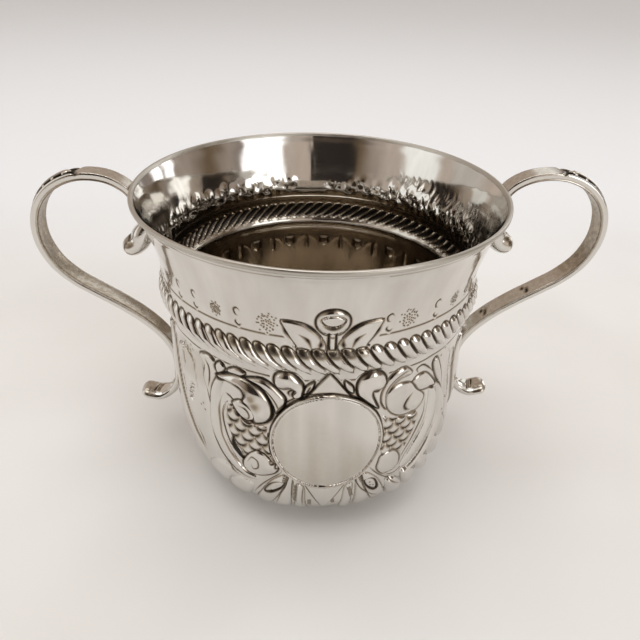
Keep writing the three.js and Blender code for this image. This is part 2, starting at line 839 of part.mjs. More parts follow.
// Each handle is cut back to a hairline from the wall and the rim where it is soldered on.
function clearance() {
  const rim = new THREE.LatheGeometry([
    new THREE.Vector2(0, overallHeight - rimHeight - 2 * joinGap),
    new THREE.Vector2(rimRadius + joinGap, overallHeight - rimHeight - 2 * joinGap),
    new THREE.Vector2(rimRadius + joinGap, overallHeight + 2 * strapThickness),
    new THREE.Vector2(0, overallHeight + 2 * strapThickness),
  ], wallColumns);
  rim.rotateX(quarterTurn);
  return outlineSolid(joinGap + Math.max(...pairShape) * fluteRelief).add(solidOf(rim));
}

const porringer = new THREE.Group();
porringer.add(named('bowl', geometryOf(bowl())));
porringer.add(named('rim_wire', rimWire()));
porringer.add(named('foot_ring', footRing()));
const room = clearance();
handles.forEach((handle) => {
  porringer.add(named(`handle_${handle.name}`, geometryOf(strap(handle).subtract(room))));
  porringer.add(named(`rat_tail_${handle.name}`, ratTail(handle)));
});

export default porringer;
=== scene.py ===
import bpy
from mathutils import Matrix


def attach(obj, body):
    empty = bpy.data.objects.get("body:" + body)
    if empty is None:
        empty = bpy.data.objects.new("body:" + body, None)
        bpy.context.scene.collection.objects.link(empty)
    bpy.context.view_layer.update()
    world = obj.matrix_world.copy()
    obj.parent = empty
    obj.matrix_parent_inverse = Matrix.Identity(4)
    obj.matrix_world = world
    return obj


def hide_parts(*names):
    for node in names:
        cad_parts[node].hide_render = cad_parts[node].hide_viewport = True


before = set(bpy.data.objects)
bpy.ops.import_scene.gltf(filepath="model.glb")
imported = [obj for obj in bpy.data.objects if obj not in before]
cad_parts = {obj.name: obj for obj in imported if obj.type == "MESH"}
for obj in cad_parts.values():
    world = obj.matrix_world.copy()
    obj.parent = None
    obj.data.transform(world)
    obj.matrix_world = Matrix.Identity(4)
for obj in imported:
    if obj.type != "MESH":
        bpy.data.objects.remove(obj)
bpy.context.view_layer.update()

import math

import bpy
import numpy as np
from mathutils import Matrix, Vector

# The bowl's outline. The real bowl is raised from one disc of sterling sheet, 0.75 mm thick,
# to a flared lip, a nearly straight wall and a rounded base. Its sizes are in millimetres,
# and a drop is measured straight down from the top of the rim.
millimetre = 0.001
rim_height = 99.0
sheet_thickness = 0.75
wall_drops = np.array([1.65, 4.2, 8.5, 13.0, 15.2, 17.2, 19.4, 23.0, 28.0, 36.0, 61.0])
wall_radii = np.array([51.2, 49.95, 48.5, 47.34, 46.84, 46.56, 46.42, 46.3, 46.1, 45.5, 46.35])
belly_drop, belly_radius = 61.0, 46.35
base_drop, base_radius, base_roundness = 95.9, 28.0, 2.5
front_turn = math.radians(2.2)
front_angle = front_turn - math.pi / 2
full_turn = 2 * math.pi
unroll_radius = 46.0


def from_front(angle):
    """An angle round the bowl, counted from the middle of the front to half a turn each way."""
    return (angle - front_angle + math.pi) % full_turn - math.pi


def evenly_round(count):
    """Evenly spaced angles, once round."""
    return np.linspace(0, full_turn, count, endpoint=False)


def upper_radius(drop):
    """Radius of the wall above the belly, as a smooth curve through its stations."""
    slope = np.zeros(len(wall_drops))
    slope[1:-1] = (wall_radii[2:] - wall_radii[:-2]) / (wall_drops[2:] - wall_drops[:-2])
    slope[0] = (wall_radii[1] - wall_radii[0]) / (wall_drops[1] - wall_drops[0])
    index = np.clip(np.searchsorted(wall_drops, drop) - 1, 0, len(wall_drops) - 2)
    span = wall_drops[index + 1] - wall_drops[index]
    t = (drop - wall_drops[index]) / span
    rise = wall_radii[index + 1] - wall_radii[index]
    lean, lean_after = slope[index] * span, slope[index + 1] * span
    bend = 3 * rise - 2 * lean - lean_after + t * (lean + lean_after - 2 * rise)
    return wall_radii[index] + t * (lean + t * bend)


def lower_outline(share):
    """Drop and radius of the wall below the belly, where it rounds into the flat base."""
    turn = share * math.pi / 2
    power = 2 / base_roundness
    radius = base_radius + (belly_radius - base_radius) * np.cos(turn) ** power
    drop = belly_drop + (base_drop - belly_drop) * np.sin(turn) ** power
    return drop, radius


lip_top = 1.3
upper_drops = np.linspace(lip_top, belly_drop, 1200)
lower_drops, lower_radii = lower_outline(np.linspace(0, 1, 900)[1:])
outline_drop = np.concatenate([upper_drops, lower_drops])
outline_radius = np.concatenate([upper_radius(upper_drops), lower_radii])
steps = np.hypot(np.diff(outline_drop), np.diff(outline_radius))
outline_length = np.concatenate([[0], np.cumsum(steps)])
outline_out = np.gradient(outline_drop, outline_length)
outline_down = -np.gradient(outline_radius, outline_length)


def length_at(drop):
    """Distance along the wall from the lip to a drop."""
    return float(np.interp(drop, outline_drop, outline_length))


def smoothstep(value, low, high):
    """0 up to the low value and 1 from the high one, with a soft rise between."""
    t = np.clip((value - low) / (high - low), 0, 1)
    return t * t * (3 - 2 * t)


def between(value, start, full, fading, end):
    """1 in the middle of a stretch and 0 outside it, with soft ends."""
    return smoothstep(value, start, full) * (1 - smoothstep(value, fading, end))


def arch(share, fullness=0.5):
    """A rounded swelling: 1 in the middle, 0 at a share of 1 and beyond. A fullness of 1 is a
    shallow dome and 0.5 a half-round."""
    return np.clip(1 - share * share, 0, 1) ** fullness


def line_at(away, width):
    """A line cut with a tracer: 1 along its middle, fading over its half width."""
    return np.exp(-((away / width) ** 2))


# The rope girdle and the engraved lines beside it are chased into the wall from both sides.
# The rope is a row of rounded lobes that lean over and run out into a point below, with dark
# oxide left in the creases between them.
rope_lobes, rope_radius = 82, 46.2
rope_top, rope_height, rope_relief = 23.3, 8.4, 1.55
inner_rope_top, inner_rope_height = 23.9, 6.3
rope_pitch = full_turn * rope_radius / rope_lobes
lobe_head = 0.47 * rope_pitch
rope_lean, lean_change, back_lean, rope_sweep = 1.55, 0.2, 0.5, 1.4
swell_levels, swell_shares = (0, 0.2, 0.5, 0.8, 1), (0.3, 0.75, 1, 0.6, 0)
ground_share, crease_width, crease_depth = 0.3, 0.24, 0.15
# The stretch of the front, in millimetres, and the strength of the dark brown reflection painted on the upper
# halves of the heads there.
painted_reflection_stretch, painted_reflection_darkness = (-36, -18, 4, 10), 0.72
line_below_rim, line_above_rope, line_below_rope = 2.5, 20.7, 34.0
flower_gap, girdle_step = (9.0, 9.8), 0.14
above_width, above_depth, above_oxide = 0.26, 0.14, 0.75
below_width, below_depth, below_oxide = 0.3, 0.2, 0.8
filed_width, filed_depth, filed_oxide = 0.2, 0.08, 0.4


def rope(angle, drop, top, height):
    """Relief, oxide and painted shade of the rope. Each lobe has a round head, and a body that leans over and
    narrows to a tail. The lean changes a little on the way round, as it was set out by eye.
    A dark brown reflection is painted on the upper halves of the heads beside the flower, mostly to its left."""
    level = (drop - top) / height
    inside = np.clip(level, 0, 1)
    turned = from_front(angle)
    lean = rope_lean + lean_change * np.cos(turned + 0.5)
    lean = lean + back_lean * smoothstep(-np.cos(turned), 0.1, 0.7)
    place = turned / full_turn * rope_lobes - lean * inside**rope_sweep
    across = (place - np.round(place)) * rope_pitch
    half = lobe_head * (1 - 0.8 * smoothstep(inside, 0.7, 1.0))
    below = drop - top - lobe_head
    within = np.where(below < 0, lobe_head - np.hypot(across, below), half - np.abs(across))
    share = 1 - np.clip(within / np.maximum(half, 0.1), 0, 1)
    swell = rope_relief * np.interp(inside, swell_levels, swell_shares)
    lobe = np.where((within > 0) & (level < 1), swell * arch(share, 0.55), 0)
    ground = ground_share * swell * (level > 0) * (level < 1)
    crease = line_at(within, crease_width) * between(level, -0.12, -0.05, 0.68, 0.95)
    # Painted reflection: the upper halves of the heads beside the flower are darkened to brown.
    brown = between(turned * unroll_radius, *painted_reflection_stretch)
    on_head = smoothstep(within, 0.3, 0.6) * (1 - smoothstep(level, 0.22, 0.38))
    oxide_and_painted_shade = np.maximum(0.95 * crease, painted_reflection_darkness * brown * on_head)
    return np.maximum(lobe, ground) - crease_depth * crease, oxide_and_painted_shade


def girdle_lines(across, drop):
    """The engraved line above the rope stops at the flower. The one below it runs right round,
    and so does the one filed below the rim."""
    above = line_at(drop - line_above_rope, above_width) * smoothstep(np.abs(across), *flower_gap)
    below = line_at(drop - line_below_rope, below_width)
    filed = line_at(drop - line_below_rim, filed_width)
    step = between(drop, line_above_rope - 0.6, line_above_rope, line_below_rope, line_below_rope + 0.8)
    relief = girdle_step * step - above_depth * above - below_depth * below - filed_depth * filed
    return relief, np.maximum(above_oxide * above, below_oxide * below) + filed_oxide * filed


# The spiral lobes and flutes below the girdle: broad rounded lobes between narrow hollow
# flutes, each edged with a traced line, and a short dash cut at the head of each lobe. They
# swirl towards the base, die out into it and stop beside the chased front.
flute_pairs = 21
flute_top = 36.6
lobe_top, lobe_half, lobe_relief = 37.6, 4.7, 0.66
hollow_top, hollow_half, hollow_depth = 38.6, 1.7, 0.42
dash_top, dash_bottom, dash_width, dash_end = 39.4, 43.9, 0.42, 0.5
dash_depth, dash_oxide = 0.3, 0.6
lobe_line, hollow_line, traced_depth, traced_oxide = 0.3, 0.26, 0.12, 0.7
flute_fading = (0.7, 0.98)
swirl, swirl_power = math.radians(48), 2.2
panel_edge, panel_blend = math.radians(49), math.radians(5)
pair_pitch = full_turn * belly_radius / flute_pairs


def flutes(angle, drop):
    """Relief and oxide of the lobes and flutes, both with round heads."""
    share = np.clip((drop - flute_top) / (base_drop - flute_top), 0, 1)
    place = (angle - swirl * share**swirl_power) / full_turn * flute_pairs
    across = pair_pitch * np.abs(place - np.floor(place) - 0.5)
    beside = pair_pitch / 2 - across
    lobe_end = arch(1 - np.clip((drop - lobe_top) / lobe_half, 0, 1))
    hollow_end = arch(1 - np.clip((drop - hollow_top) / hollow_half, 0, 1))
    half = np.maximum(lobe_half * lobe_end, 0.02)
    hollow = np.maximum(hollow_half * hollow_end, 0.02)
    lobe = lobe_relief * arch(across / half) * (drop > lobe_top)
    relief = lobe - hollow_depth * arch(beside / hollow) * (drop > hollow_top)
    traced = np.where(drop > lobe_top, line_at(across - half, lobe_line), 0)
    traced = np.maximum(traced, np.where(drop > hollow_top, line_at(beside - hollow, hollow_line), 0))
    dash = between(drop, dash_top, dash_top + dash_end, dash_bottom - dash_end, dash_bottom)
    dash = dash * line_at(across, dash_width)
    low = np.clip((drop - belly_drop) / (base_drop - belly_drop), 0, 1) ** (base_roundness / 2)
    fade = 1 - smoothstep(np.arcsin(low) / (math.pi / 2), *flute_fading)
    mask = fade * smoothstep(np.abs(from_front(angle)), panel_edge, panel_edge + panel_blend)
    oxide_and_painted_shade = np.maximum(traced_oxide * traced, dash_oxide * dash)
    return (relief - traced_depth * traced - dash_depth * dash) * mask, oxide_and_painted_shade * mask


# The inside of the sheet below the lip shows how it was worked: a smooth ridge under the
# rope, and at the heads of the flutes and lobes the marks of the tools that raised them, a
# five-sided cup behind every flute and a bar behind every lobe.
inner_ridge, inner_ridge_half, inner_ridge_relief = 31.9, 1.9, 0.6
cup_top, cup_bottom, cup_half, cup_depth = 37.0, 41.9, 2.1, 0.42
bar_half, bar_depth = 0.75, 0.35


def inner_marks(angle, drop):
    """How far the ridge, the cups and the bars stand inwards, and the oxide at their edges."""
    place = angle / full_turn * flute_pairs
    across = pair_pitch * np.abs(place - np.floor(place) - 0.5)
    beside = pair_pitch / 2 - across
    depth = np.minimum(cup_half - beside, drop - cup_top)
    depth = np.minimum(depth, 0.8 * (cup_bottom - drop - 0.75 * beside))
    bar = np.minimum(bar_half - across, np.minimum(drop - cup_top, cup_bottom + 0.8 - drop))
    inward = cup_depth * smoothstep(depth, 0, 1.1) + bar_depth * smoothstep(bar, 0, 0.7)
    inward = inward + inner_ridge_relief * arch((drop - inner_ridge) / inner_ridge_half, 0.7)
    edges = np.maximum(line_at(depth, 0.3), 0.85 * line_at(bar, 0.26)) * (drop > cup_top - 0.5)
    return inward, 0.6 * edges


# The chased front: an oval cartouche left plain, between scrolls with fish scales, berries
# and leaves, over a fan of gadroons, with a flower on the girdle above it. It was raised from
# behind on pitch, then outlined from the front. It is drawn on the unrolled wall.
def smooth_path(points, closed, per_span=6):
    """A smooth line through a maker's few points."""
    knots = np.array(points, float)
    if closed:
        knots = np.vstack([knots[-1], knots, knots[:2]])
    else:
        knots = np.vstack([2 * knots[0] - knots[1], knots, 2 * knots[-1] - knots[-2]])
    t = (np.arange(per_span) / per_span)[:, None]
    found = []
    for before, start, end, after in zip(knots, knots[1:], knots[2:], knots[3:]):
        bend = 2 * before - 5 * start + 4 * end - after
        twist = 3 * start - before - 3 * end + after
        found.append(start + t / 2 * (end - before + t * (bend + t * twist)))
    if not closed:
        found.append(knots[-2][None])
    return np.vstack(found)


class Chasing:
    """What the chasing tools have done to the wall at many points: relief in millimetres,
    and oxide from 0 for bright silver to 1 for black, which also carries a little painted reflection."""

    outline_depth, stroke_depth, crescent_depth = 0.2, 0.2, 0.35
    line_end, scale_length, stroke_width = 0.35, 1.25, 0.27

    def __init__(self, across, drop):
        self.across, self.drop = across, drop
        self.relief, self.oxide_and_painted_shade = np.zeros_like(across), np.zeros_like(across)

    def near(self, path, margin):
        """Which points lie in the path's box, grown by a margin."""
        low, high = path.min(0) - margin, path.max(0) + margin
        inside = (self.across > low[0]) & (self.across < high[0])
        inside &= (self.drop > low[1]) & (self.drop < high[1])
        return np.nonzero(inside)[0]

    def measure(self, path, chosen, closed):
        """For each chosen point: its distance from the path, the share of the path at the
        nearest place, and whether it lies inside the closed path."""
        x, y = self.across[chosen], self.drop[chosen]
        ends = np.roll(path, -1, axis=0) if closed else path[1:]
        starts = path if closed else path[:-1]
        best, share = np.full(len(x), 1e9), np.zeros(len(x))
        within = np.zeros(len(x), bool)
        for i, (start, end) in enumerate(zip(starts, ends)):
            span = end - start
            size = max(float(span @ span), 1e-9)
            t = np.clip(((x - start[0]) * span[0] + (y - start[1]) * span[1]) / size, 0, 1)
            away = (x - start[0] - t * span[0]) ** 2 + (y - start[1] - t * span[1]) ** 2
            closer = away < best
            best = np.where(closer, away, best)
            share = np.where(closer, (i + t) / len(starts), share)
            if closed and abs(span[1]) > 1e-9:
                crosses = (start[1] > y) != (end[1] > y)
                within ^= crosses & (x < start[0] + (y - start[1]) / span[1] * span[0])
        return np.sqrt(best), share, within

    def boss(self, points, height, edge, outline=0.3, dark=0.9, square=False, fullness=0.6):
        """A swelling raised from behind inside a closed outline, rounded over its edge."""
        path = np.array(points, float) if square else smooth_path(points, True)
        chosen = self.near(path, 1.5)
        if not len(chosen):
            return
        away, _, within = self.measure(path, chosen, True)
        rounded = height * arch(1 - np.clip(away / edge, 0, 1), fullness)
        self.relief[chosen] = np.where(within, rounded, self.relief[chosen])
        self.oxide_and_painted_shade[chosen] = np.where(within, 0, self.oxide_and_painted_shade[chosen])
        if outline:
            cut = line_at(away + np.where(within, 0, -0.1), outline)
            self.relief[chosen] -= self.outline_depth * cut
            self.oxide_and_painted_shade[chosen] = np.maximum(self.oxide_and_painted_shade[chosen], dark * cut)

    def line(self, points, width=0.26, depth=0.16, dark=0.9, taper=0.25):
        """A traced line that thins out at both ends."""
        path = smooth_path(points, False)
        chosen = self.near(path, 1.5)
        if not len(chosen):
            return
        away, share, _ = self.measure(path, chosen, False)
        fullness = np.clip(np.minimum(share, 1 - share) / taper, 0, 1)
        thin = self.line_end + (1 - self.line_end) * fullness
        cut = line_at(away, width * thin)
        self.relief[chosen] -= depth * cut * thin
        self.oxide_and_painted_shade[chosen] = np.maximum(self.oxide_and_painted_shade[chosen], dark * cut * thin)

    def band(self, points, widths, height):
        """A raised ribbon along a path, whose half width changes from point to point."""
        path = smooth_path(points, False)
        chosen = self.near(path, max(widths) + 1)
        if not len(chosen):
            return
        away, share, _ = self.measure(path, chosen, False)
        half = np.interp(share, np.linspace(0, 1, len(widths)), widths)
        raised = height * arch(away / half) * np.minimum(1, half / max(widths) + 0.3)
        self.relief[chosen] = np.maximum(self.relief[chosen], raised)

    def scales(self, points, width, row, height):
        """Overlapping fish scales that fill an outline, each with a dark crescent below it."""
        path = smooth_path(points, True)
        chosen = self.near(path, 0.5)
        if not len(chosen):
            return
        away, _, within = self.measure(path, chosen, True)
        x, y = self.across[chosen], self.drop[chosen]
        level, crescent = np.zeros(len(x)), np.zeros(len(x))
        first = int(math.floor(path[:, 1].min() / row)) - 2
        last = int(math.ceil(path[:, 1].max() / row)) + 1
        radius = 0.5 * width
        for layer in range(last, first, -1):
            top = layer * row
            shift = 0.5 * width * (layer % 2)
            middle = np.round((x - shift) / width) * width + shift
            down = (y - top) / (self.scale_length * row)
            place = np.hypot(x - middle, down * radius)
            covers = (place < radius) & (y > top - 0.3 * row)
            rise = 0.35 + 0.65 * np.clip(down, 0, 1)
            edge = line_at(place - radius, 0.52) * np.clip(down, 0, 1) ** 1.8
            level = np.where(covers, rise * arch(place / radius * 0.75), level)
            crescent = np.where(covers, edge, np.maximum(crescent, edge))
        inner = smoothstep(away, 0, 0.5)
        carved = (height * level - self.crescent_depth * crescent) * inner
        self.relief[chosen] = np.where(within, carved, self.relief[chosen])
        self.oxide_and_painted_shade[chosen] = np.where(within, crescent * inner, self.oxide_and_painted_shade[chosen])

    def dots(self, centres, size, depth=0.2, dark=0.85):
        """Single blows of a pointed punch."""
        for centre in centres:
            path = np.array([centre], float)
            chosen = self.near(path, 3 * size)
            if not len(chosen):
                continue
            away = np.hypot(self.across[chosen] - centre[0], self.drop[chosen] - centre[1])
            pit = line_at(away, size)
            self.relief[chosen] -= depth * pit
            self.oxide_and_painted_shade[chosen] = np.maximum(self.oxide_and_painted_shade[chosen], dark * pit)

    def hatching(self, start, end, half, pitch):
        """A column of short strokes side by side, cut with the corner of a chisel."""
        start, end = np.array(start, float), np.array(end, float)
        chosen = self.near(np.vstack([start, end]), 2.0)
        if not len(chosen):
            return
        span = end - start
        size = float(np.hypot(*span))
        x, y = self.across[chosen] - start[0], self.drop[chosen] - start[1]
        along, aside = (x * span[0] + y * span[1]) / size, (x * span[1] - y * span[0]) / size
        from_stroke = along - np.round(along / pitch) * pitch
        stroke = line_at(from_stroke, self.stroke_width) * (np.abs(aside) < half)
        stroke = stroke * (along > 0) * (along < size)
        self.relief[chosen] -= self.stroke_depth * stroke
        self.oxide_and_painted_shade[chosen] = np.maximum(self.oxide_and_painted_shade[chosen], 0.9 * stroke)


def mirrored(points, side):
    """The same points, or with a side of -1 their mirror image left of the middle."""
    return [(side * x, y) for x, y in points]


# The left half of the front, drawn as if it lay on the right: scroll, scales, berry, leaves
# and gadroons, each as a few points across from the middle and down from the rim.
volute = [(31.6, 39.9), (29.6, 38.4), (25.7, 37.1), (21.9, 37.5), (18.3, 39.1), (16.0, 41.7),
          (14.7, 45.2), (15.1, 48.3), (17.4, 50.5), (19.8, 51.1), (22.0, 50.3), (21.2, 48.2),
          (22.0, 46.0), (23.3, 44.7), (22.7, 42.6), (24.2, 40.7), (27.3, 40.2)]
volute_edge = [(31.8, 39.8), (29.6, 38.2), (25.7, 36.9), (21.9, 37.3), (18.1, 38.9), (15.8, 41.6),
               (14.5, 45.2), (14.9, 48.4), (17.3, 50.7), (19.8, 51.3), (22.6, 50.6), (24.7, 49.1),
               (25.9, 47.2)]
volute_eye = [(26.7, 46.6), (24.3, 44.9), (22.0, 45.6), (19.9, 47.8), (19.8, 50.0), (22.0, 51.2),
              (24.4, 50.2), (26.0, 48.5)]
eye_curl = [(24.9, 46.6), (22.4, 47.0), (21.2, 48.7), (21.5, 50.1), (22.7, 49.9)]
volute_fold = [(27.2, 40.6), (24.4, 41.2), (23.2, 42.8), (23.4, 44.8)]
inner_fold = [(28.8, 44.5), (27.1, 45.2), (25.9, 46.6)]
wrap_petal = [(22.2, 36.7), (17.8, 35.5), (14.9, 36.6), (12.6, 38.7), (11.2, 40.5), (11.1, 42.6),
              (12.6, 45.2), (13.8, 46.2), (14.4, 43.8), (15.6, 41.2), (17.2, 38.8), (19.6, 37.3)]
wrap_vein = [(18.6, 37.5), (16.0, 38.9), (14.1, 41.0), (13.0, 43.2), (12.9, 45.0)]
berry = [(14.2, 35.6), (13.7, 33.1), (12.1, 31.9), (9.9, 31.9), (7.9, 33.5), (6.5, 35.8),
         (6.3, 38.1), (7.0, 39.7), (8.7, 40.1), (9.4, 39.1), (8.9, 37.9), (10.0, 37.2),
         (11.6, 37.5), (13.3, 37.2)]
berry_curl = [(8.8, 38.4), (9.6, 37.8), (10.4, 38.6), (9.9, 39.9)]
scroll_middle = [(26.4, 38.2), (30.2, 40.4), (32.3, 45.5), (32.9, 51.0), (33.0, 56.5), (31.9, 61.5),
                 (30.0, 66.0), (27.4, 69.8), (24.2, 72.6), (20.5, 73.6)]
scroll_widths = [0.3, 1.2, 1.7, 1.9, 2.0, 2.1, 1.9, 1.6, 1.1, 0.4]
scroll_outer = [(28.2, 37.9), (31.9, 41.4), (34.0, 47.1), (34.8, 53.0), (34.9, 58.5), (33.8, 65.0),
                (31.2, 70.2), (27.7, 73.9), (23.7, 75.4), (20.4, 75.0)]
scroll_inner = [(29.6, 44.8), (30.9, 49.0), (31.2, 54.0), (30.6, 60.0), (28.6, 65.2), (26.2, 68.8),
                (24.0, 70.8)]
scale_border = [(28.4, 47.5), (29.6, 51.8), (29.2, 56.4), (27.7, 61.4), (25.5, 65.0), (23.4, 67.6)]
scale_shadow = [(26.9, 59.4), (25.5, 62.0), (23.5, 65.4), (23.0, 67.7), (24.6, 66.4), (26.6, 63.4)]
scale_field = [(28.0, 47.9), (29.0, 52.0), (28.5, 56.4), (27.0, 60.6), (24.6, 64.6), (22.6, 66.2),
               (20.4, 62.6), (18.0, 61.4), (16.2, 62.6), (14.2, 66.2), (12.8, 65.6), (14.6, 61.6),
               (15.6, 57.0), (15.9, 53.0), (16.2, 51.4), (19.9, 52.0), (23.0, 51.0), (25.6, 48.8),
               (26.6, 47.6)]
low_volute = [(24.2, 68.0), (22.0, 63.8), (19.7, 61.7), (17.6, 61.9), (15.6, 64.0), (13.2, 65.8),
              (14.1, 69.0), (17.6, 71.4), (21.4, 72.5), (23.8, 71.0)]
low_spiral = [(22.4, 66.9), (20.9, 64.4), (19.0, 64.8), (18.9, 67.4), (20.4, 68.6), (21.0, 66.9)]
jagged_edge = [(15.9, 63.4), (15.4, 65.2), (14.2, 65.0), (13.9, 66.8), (12.6, 66.6), (12.3, 68.2)]

# The right half, with its own wider volute, petals and bands.
right_volute = [(16.4, 46.3), (15.7, 43.5), (16.0, 41.2), (17.5, 39.6), (19.6, 38.9), (22.0, 39.2),
                (24.1, 40.5), (26.1, 43.4), (29.1, 46.6), (29.0, 49.0), (27.2, 50.7), (24.5, 50.8),
                (21.0, 50.4), (18.2, 48.7)]
right_eye_curl = [(24.0, 43.4), (22.2, 44.6), (21.3, 46.4), (22.1, 48.2), (23.8, 49.2)]
right_petal = [(24.3, 42.1), (24.2, 39.7), (25.9, 38.5), (28.7, 38.9), (32.0, 42.2), (34.5, 45.8),
               (31.7, 45.6), (28.8, 44.9), (26.2, 44.2)]
right_petal_line = [(25.8, 37.9), (25.0, 36.2), (27.0, 35.6), (29.6, 37.6), (32.8, 41.0)]
right_wrap = [(15.3, 45.6), (14.3, 43.6), (14.2, 40.7), (15.0, 38.1), (16.2, 35.6), (18.4, 33.9),
              (20.8, 33.8), (23.2, 36.0), (22.6, 36.9), (20.1, 37.2), (17.8, 38.6), (16.3, 40.9),
              (16.0, 43.6), (16.0, 46.1)]
right_wrap_lines = [[(15.2, 43.9), (15.2, 40.9), (16.1, 38.4), (18.0, 36.2), (20.4, 35.0), (22.3, 35.4)],
                    [(15.7, 44.0), (15.9, 40.7), (17.1, 38.3), (19.3, 36.4), (22.0, 36.1)]]
right_berry = [(7.3, 39.1), (7.0, 36.7), (7.8, 33.9), (9.7, 32.3), (11.9, 32.0), (14.1, 33.6),
               (15.2, 36.0), (14.6, 38.0), (13.1, 38.7), (11.9, 38.7), (11.7, 40.2), (12.6, 42.6),
               (13.6, 45.2), (11.0, 43.2), (8.8, 41.0)]
right_berry_curl = [(11.2, 37.8), (11.8, 39.0), (12.9, 39.4), (14.2, 38.8)]
right_scale_field = [(15.1, 48.3), (18.6, 49.9), (22.5, 51.2), (27.4, 51.8), (27.0, 57.1),
                     (25.2, 61.6), (22.8, 64.9), (19.0, 62.9), (15.7, 62.6), (14.9, 58.2),
                     (15.4, 54.1), (15.8, 51.1)]
right_low_volute = [(15.3, 66.5), (15.9, 63.8), (18.0, 62.7), (20.6, 63.7), (22.5, 66.6),
                    (22.9, 70.1), (21.5, 72.3), (19.1, 72.9), (17.0, 72.0), (15.2, 69.0)]
right_bands = [([(31.4, 43.6), (33.2, 49.4), (33.5, 56.1), (31.7, 61.1), (29.0, 65.3),
                 (26.3, 69.1), (24.2, 72.3)], [0.5, 1.5, 2.1, 2.2, 2.0, 1.4, 0.5], 1.0),
               ([(35.4, 46.0), (37.3, 52.0), (38.6, 59.7), (37.0, 65.7), (34.5, 70.0),
                 (31.0, 73.6), (26.4, 76.5)], [0.6, 1.4, 1.9, 2.0, 1.9, 1.6, 0.9], 1.25)]
right_lines = [[(30.1, 48.6), (30.1, 54.0), (28.4, 58.4), (26.2, 62.8), (24.1, 66.3), (22.9, 68.8)],
               [(29.4, 54.7), (27.7, 59.3), (25.6, 63.8), (23.5, 67.3)],
               [(25.9, 72.1), (24.0, 73.6), (21.5, 74.8), (18.0, 73.4)],
               [(12.2, 66.5), (15.5, 71.2), (20.3, 76.3), (25.6, 81.4)],
               [(8.0, 69.0), (10.1, 74.6), (14.4, 81.0), (19.5, 84.9)]]
right_side_leaf = [(32.9, 35.7), (31.4, 37.3), (33.4, 42.4), (37.6, 49.1), (37.1, 44.6), (35.2, 39.4)]
right_small_leaf = [(11.8, 73.1), (13.1, 72.2), (15.2, 73.9), (16.6, 77.9), (15.4, 78.8), (13.0, 76.3)]
right_knuckles = [[(19.5, 77.5), (23.0, 77.0), (28.5, 84.0), (30.5, 90.0), (26.0, 92.0), (22.0, 86.0)],
                  [(24.5, 75.5), (28.0, 75.5), (34.0, 82.0), (36.5, 87.5), (32.0, 90.0), (27.5, 83.5)],
                  [(29.5, 73.5), (32.5, 73.0), (38.5, 78.0), (41.5, 83.0), (38.0, 86.5), (32.5, 79.5)],
                  [(35.0, 69.5), (37.5, 68.5), (42.0, 72.5), (44.5, 78.0), (42.0, 81.5), (37.0, 76.0)],
                  [(39.0, 62.5), (41.0, 61.5), (44.5, 66.5), (46.0, 72.0), (44.5, 75.0), (40.5, 69.5)]]
right_knuckle_relief = (1.9, 2.1, 2.2, 2.0, 1.5)
right_specks = [(13.6, 74.4), (15.0, 76.4), (13.9, 76.0)]
right_marks = [(35.3, 36.6), (37.0, 34.9), (38.4, 57.5), (41.7, 63.0), (43.0, 67.3), (35.6, 77.5),
               (32.3, 79.2)]
right_hatching = [[(9.2, 68.4), (11.2, 73.2)], [(7.0, 74.3), (8.8, 81.0)], [(2.6, 81.0), (3.2, 84.7)]]

# The leaves and rays at the left side and below it. The first three gadroons and the corner
# leaf are on both sides.
side_leaf = [(38.0, 36.0), (35.9, 34.5), (32.9, 34.6), (31.4, 36.9), (31.8, 40.4), (33.6, 44.8),
             (34.6, 51.5), (35.6, 47.3), (37.0, 42.9), (36.2, 38.6)]
side_vein = [(35.2, 35.8), (34.0, 38.2), (34.0, 41.6), (34.8, 45.4)]
fan_petals = [[(31.8, 36.4), (30.0, 34.6), (28.2, 36.0), (29.6, 38.3), (31.0, 39.0)],
              [(27.6, 36.0), (25.0, 34.5), (22.0, 35.2), (23.4, 36.9), (26.4, 37.1)]]
corner_leaf = [(6.4, 38.5), (6.0, 36.2), (3.9, 34.3), (3.9, 36.0), (4.9, 37.8)]
corner_strokes = [[(5.8, 38.2), (4.6, 35.6)], [(4.2, 37.6), (3.4, 36.2)]]
drip_leaves = [[(31.4, 71.6), (29.6, 73.0), (28.6, 75.4), (26.4, 76.4)],
               [(29.9, 72.0), (28.4, 71.2), (27.0, 72.4)], [(27.9, 74.9), (26.2, 74.3), (24.8, 75.6)]]
under_line = [(11.9, 67.4), (13.2, 69.4), (15.4, 72.0), (17.9, 75.2), (20.6, 79.8), (22.8, 84.0)]
almond_bead = [(15.4, 76.8)]
# Where a soft dark brown reflection is painted on the upper part of the left volute.
volute_painted_reflection = [(22.0, 40.6), (20.2, 42.2), (19.0, 44.2)]
side_stem = [(37.2, 38.0), (36.9, 42.8), (35.8, 47.4), (35.0, 52.5)]
scale_border_widths = [0.3, 0.7, 0.8, 0.7, 0.3]
almond = [(18.2, 79.4), (16.2, 75.2), (13.6, 72.8), (11.7, 73.1), (12.9, 75.9), (15.6, 78.4)]
gadroons = [[(12.6, 70.0), (16.2, 74.2), (19.4, 80.6), (22.6, 88.5), (19.0, 91.4), (16.4, 87.0),
             (13.6, 80.0), (11.2, 73.0), (11.0, 69.6)],
            [(10.2, 69.6), (11.8, 75.8), (14.6, 82.4), (17.2, 89.0), (14.0, 92.0), (10.8, 89.0),
             (9.9, 81.0), (9.2, 71.5)],
            [(8.0, 73.0), (8.6, 80.0), (9.4, 88.0), (8.6, 92.0), (5.6, 90.5), (5.8, 82.0),
             (6.0, 74.6)]]
gadroon_relief = (0.8, 0.75, 0.55)
